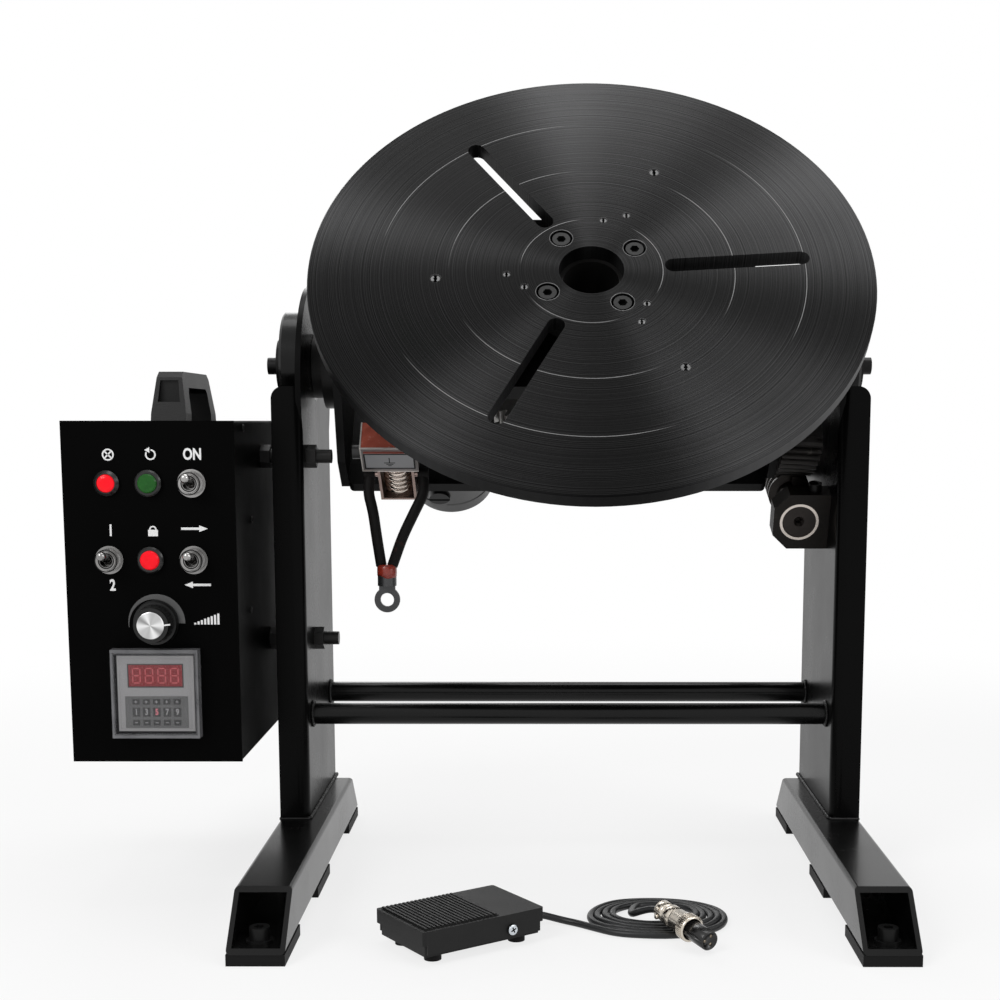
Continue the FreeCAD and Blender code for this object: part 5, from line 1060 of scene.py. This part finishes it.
def threadGlints():
    # painted highlights: bright crescents set inside the tapped holes, on their left and right
    shape = bmesh.new()
    for circle, turn, radius in tappedHoles():
        place = tablePlace(circle, turn, -0.0008)
        inner, outer = radius * 0.42, radius + 0.0001
        for start in (-62, 118):
            band(shape, place, (inner, inner), (outer, outer), start, start + 124, 0.0005, 14)
    keepFlat(shape, "threadGlints", glintSteel, "table")


holeRims()
threadGlints()


weldParts = {"bead": 0.0016, "pitch": 0.0016, "seed": 7}


def weldSeams():
    # weld beads along the feet of the uprights and round the ends of the crossbars
    weld = Pattern("weld", {"Pitch": "Float", "Bead": "Float", "Seed": "Int"})
    curve = weld.add("GeometryNodeMeshToCurve", {}, {0: weld.given.outputs[0]})
    sampled = weld.add("GeometryNodeResampleCurve", {"mode": "LENGTH"},
                       {"Curve": curve, "Length": weld.size("Pitch")})
    drop = weld.add("GeometryNodeMeshUVSphere", {}, {"Segments": 10, "Rings": 6, "Radius": weld.size("Bead")})
    uneven = weld.add("FunctionNodeRandomValue", {"data_type": "FLOAT"},
                      {2: 0.85, 3: 1.12, 8: weld.size("Seed")}, out=1)
    beads = weld.add("GeometryNodeInstanceOnPoints", {},
                     {"Points": sampled, "Instance": drop, "Scale": uneven})
    weld.close(beads, powderCoat)
    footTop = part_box("foot_tubes")[1].z
    lines = []
    for name, side in (("left_upright", 1), ("right_upright", -1)):
        low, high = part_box(name)
        inner = high.x if side > 0 else low.x
        lines.append([(inner + side * 0.0004, low.y + 0.003, footTop + 0.0004),
                      (inner + side * 0.0004, high.y - 0.003, footTop + 0.0004)])
        lines.append([(low.x + 0.001, low.y - 0.0004, footTop + 0.0004),
                      (high.x - 0.001, low.y - 0.0004, footTop + 0.0004)])
        barLow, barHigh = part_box("crossbars")
        radius = (barHigh.z - barLow.z) / 2
        for middle in (barLow.y + radius, barHigh.y - radius):
            loop = []
            for step in range(25):
                angle = 2 * math.pi * step / 24
                loop.append((inner + side * 0.0006, middle + (radius + 0.0006) * math.cos(angle),
                             (barLow.z + barHigh.z) / 2 + (radius + 0.0006) * math.sin(angle)))
            lines.append(loop)
    mesh = weld.make(pathMesh(lines), Pitch=weldParts["pitch"], Bead=weldParts["bead"],
                     Seed=weldParts["seed"])
    keep(mesh, "weldSeams", None, "stand")


weldSeams()


# each kind's head radius and rise
screwParts = {"pedal": (0.0034, 0.0006), "box": (0.0024, 0.0010)}


def crossScrew(place, kind, name, material):
    # a round head, its cross a dark sheet of painted shade laid on top
    head, rise = screwParts[kind]
    shape = turnedMesh([(0.0, -0.0003), (head, -0.0003), (head, rise * 0.45), (head * 0.8, rise * 0.85),
                        (head * 0.45, rise), (0.0, rise)], place, 32)
    keep(fromBmesh(shape), name, material, "stand")
    cut = bmesh.new()
    for turn in (0.4, 0.4 + math.pi / 2):
        slabMesh(rectangle(head * 1.15, head * 0.26, turn=turn), 0.00006, lifted(place, rise), cut)
    keepFlat(cut, name + "Cross", holeShade, "stand")


def pedalScrew():
    # the bright pivot screw in its dark round recess on the pedal's near side
    out = pedalPoint(0, -1, 0) - pedalPoint(0, 0, 0)
    place = basis(pedalPoint(0.020, -0.0316, 0.0125), out, upwards)
    crossScrew(place, "pedal", "pedalScrew", zincScrew)


def boxScrews():
    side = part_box("box_shell")[1].x
    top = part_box("box_shell")[1].z
    for index, (y, z) in enumerate(((-0.0374, 0.2630), (-0.0479, 0.2001), (-0.0596, top - 0.0050))):
        place = basis((side, y, z), sideways, (0, 1, 0))
        crossScrew(place, "box", "boxScrew%d" % index, darkScrew)


pedalScrew()
boxScrews()


print("setting the studio")
studioParts = {"floorReach": 3.0, "floorSides": 96, "fadeFrom": 0.55, "fadeTo": 1.25, "glow": 0.78,
               "worldLight": 0.36, "aim": 0.3}
# each lamp's place, size and power
lamps = {
    "keyLamp": ((-1.5, -1.7, 1.9), 1.3, 30.0),
    "fillLamp": ((1.9, -1.2, 1.2), 1.2, 14.0),
    "topLamp": ((0.2, 0.4, 2.4), 1.6, 22.0),
    "backLamp": ((-0.6, 2.0, 1.5), 1.2, 12.0),
}
cameraParts = {"place": (0.04083, -1.1476, 0.33221), "down": 7.943, "turn": 0.162, "sensor": 36.0,
               "lens": 56.44, "shift": (-0.0435, 0.14)}


def seenRays(tree):
    # 1 for rays that come from the camera, directly or off a shiny face or through a clear one
    rays = tree.nodes.new("ShaderNodeLightPath").outputs
    seen = rays["Is Camera Ray"]
    for label in ("Is Glossy Ray", "Is Transmission Ray"):
        seen = addNode(tree, "ShaderNodeMath", {"operation": "MAXIMUM"}, {0: seen, 1: rays[label]})
    return seen


def paleFloor():
    # white to the eye, with the object's shadow, fading to plain white further out
    paper = Finish("paper", Roughness=0.9, Specular_IOR_Level=0.0)
    away = radiusFrom(paper, (standX, standY, 0), upwards)[0].between(studioParts["fadeFrom"],
                                                                      studioParts["fadeTo"])
    paper.feed(Base_Color=paper.mix(grey(0.80), grey(0.84), paper.noise(0.8, 2.0)))
    share = Wire(paper, seenRays(paper.tree)) * (away * (1 - studioParts["glow"]) + studioParts["glow"])
    glow = addNode(paper.tree, "ShaderNodeEmission", {}, {"Strength": 1.0})
    lit = addNode(paper.tree, "ShaderNodeMixShader", {},
                  {0: share.socket, 1: paper.shader.outputs[0], 2: glow})
    paper.tree.links.new(lit, paper.output.inputs["Surface"])
    return paper.material


def studioFloor(scene):
    ground = bmesh.new()
    bmesh.ops.create_circle(ground, cap_ends=True, segments=studioParts["floorSides"],
                            radius=studioParts["floorReach"], matrix=Matrix.Translation((standX, standY, 0)))
    mesh = bpy.data.meshes.new("floor")
    ground.to_mesh(mesh)
    ground.free()
    floor = bpy.data.objects.new("floor", mesh)
    scene.collection.objects.link(floor)
    mesh.materials.append(paleFloor())


def room(scene):
    # dim light from all round, behind a white that only the camera sees
    scene.world = bpy.data.worlds.new("room")
    scene.world.use_nodes = True
    tree = scene.world.node_tree
    tree.nodes.clear()
    dim = addNode(tree, "ShaderNodeBackground", {},
                  {"Color": grey(0.95), "Strength": studioParts["worldLight"]})
    bright = addNode(tree, "ShaderNodeBackground", {}, {"Color": grey(1.0), "Strength": 1.0})
    blend = addNode(tree, "ShaderNodeMixShader", {}, {0: seenRays(tree), 1: dim, 2: bright})
    out = tree.nodes.new("ShaderNodeOutputWorld")
    tree.links.new(blend, out.inputs[0])


def studioLamps(scene):
    target = Vector((standX, standY, studioParts["aim"]))
    for name, (place, size, power) in lamps.items():
        lamp = bpy.data.lights.new(name, "AREA")
        lamp.shape = "DISK"
        lamp.size = size
        lamp.energy = power
        thing = bpy.data.objects.new(name, lamp)
        thing.location = place
        thing.rotation_euler = (target - Vector(place)).to_track_quat("-Z", "Y").to_euler()
        scene.collection.objects.link(thing)


def studioCamera(scene):
    lens = bpy.data.cameras.new("camera")
    lens.sensor_width = cameraParts["sensor"]
    lens.lens = cameraParts["lens"]
    lens.shift_x, lens.shift_y = cameraParts["shift"]
    camera = bpy.data.objects.new("camera", lens)
    camera.location = cameraParts["place"]
    camera.rotation_euler = (math.radians(90 - cameraParts["down"]), 0, math.radians(cameraParts["turn"]))
    scene.collection.objects.link(camera)
    scene.camera = camera


def studio():
    scene = bpy.context.scene
    scene.view_settings.view_transform = "Standard"
    studioFloor(scene)
    room(scene)
    studioLamps(scene)
    studioCamera(scene)


studio()
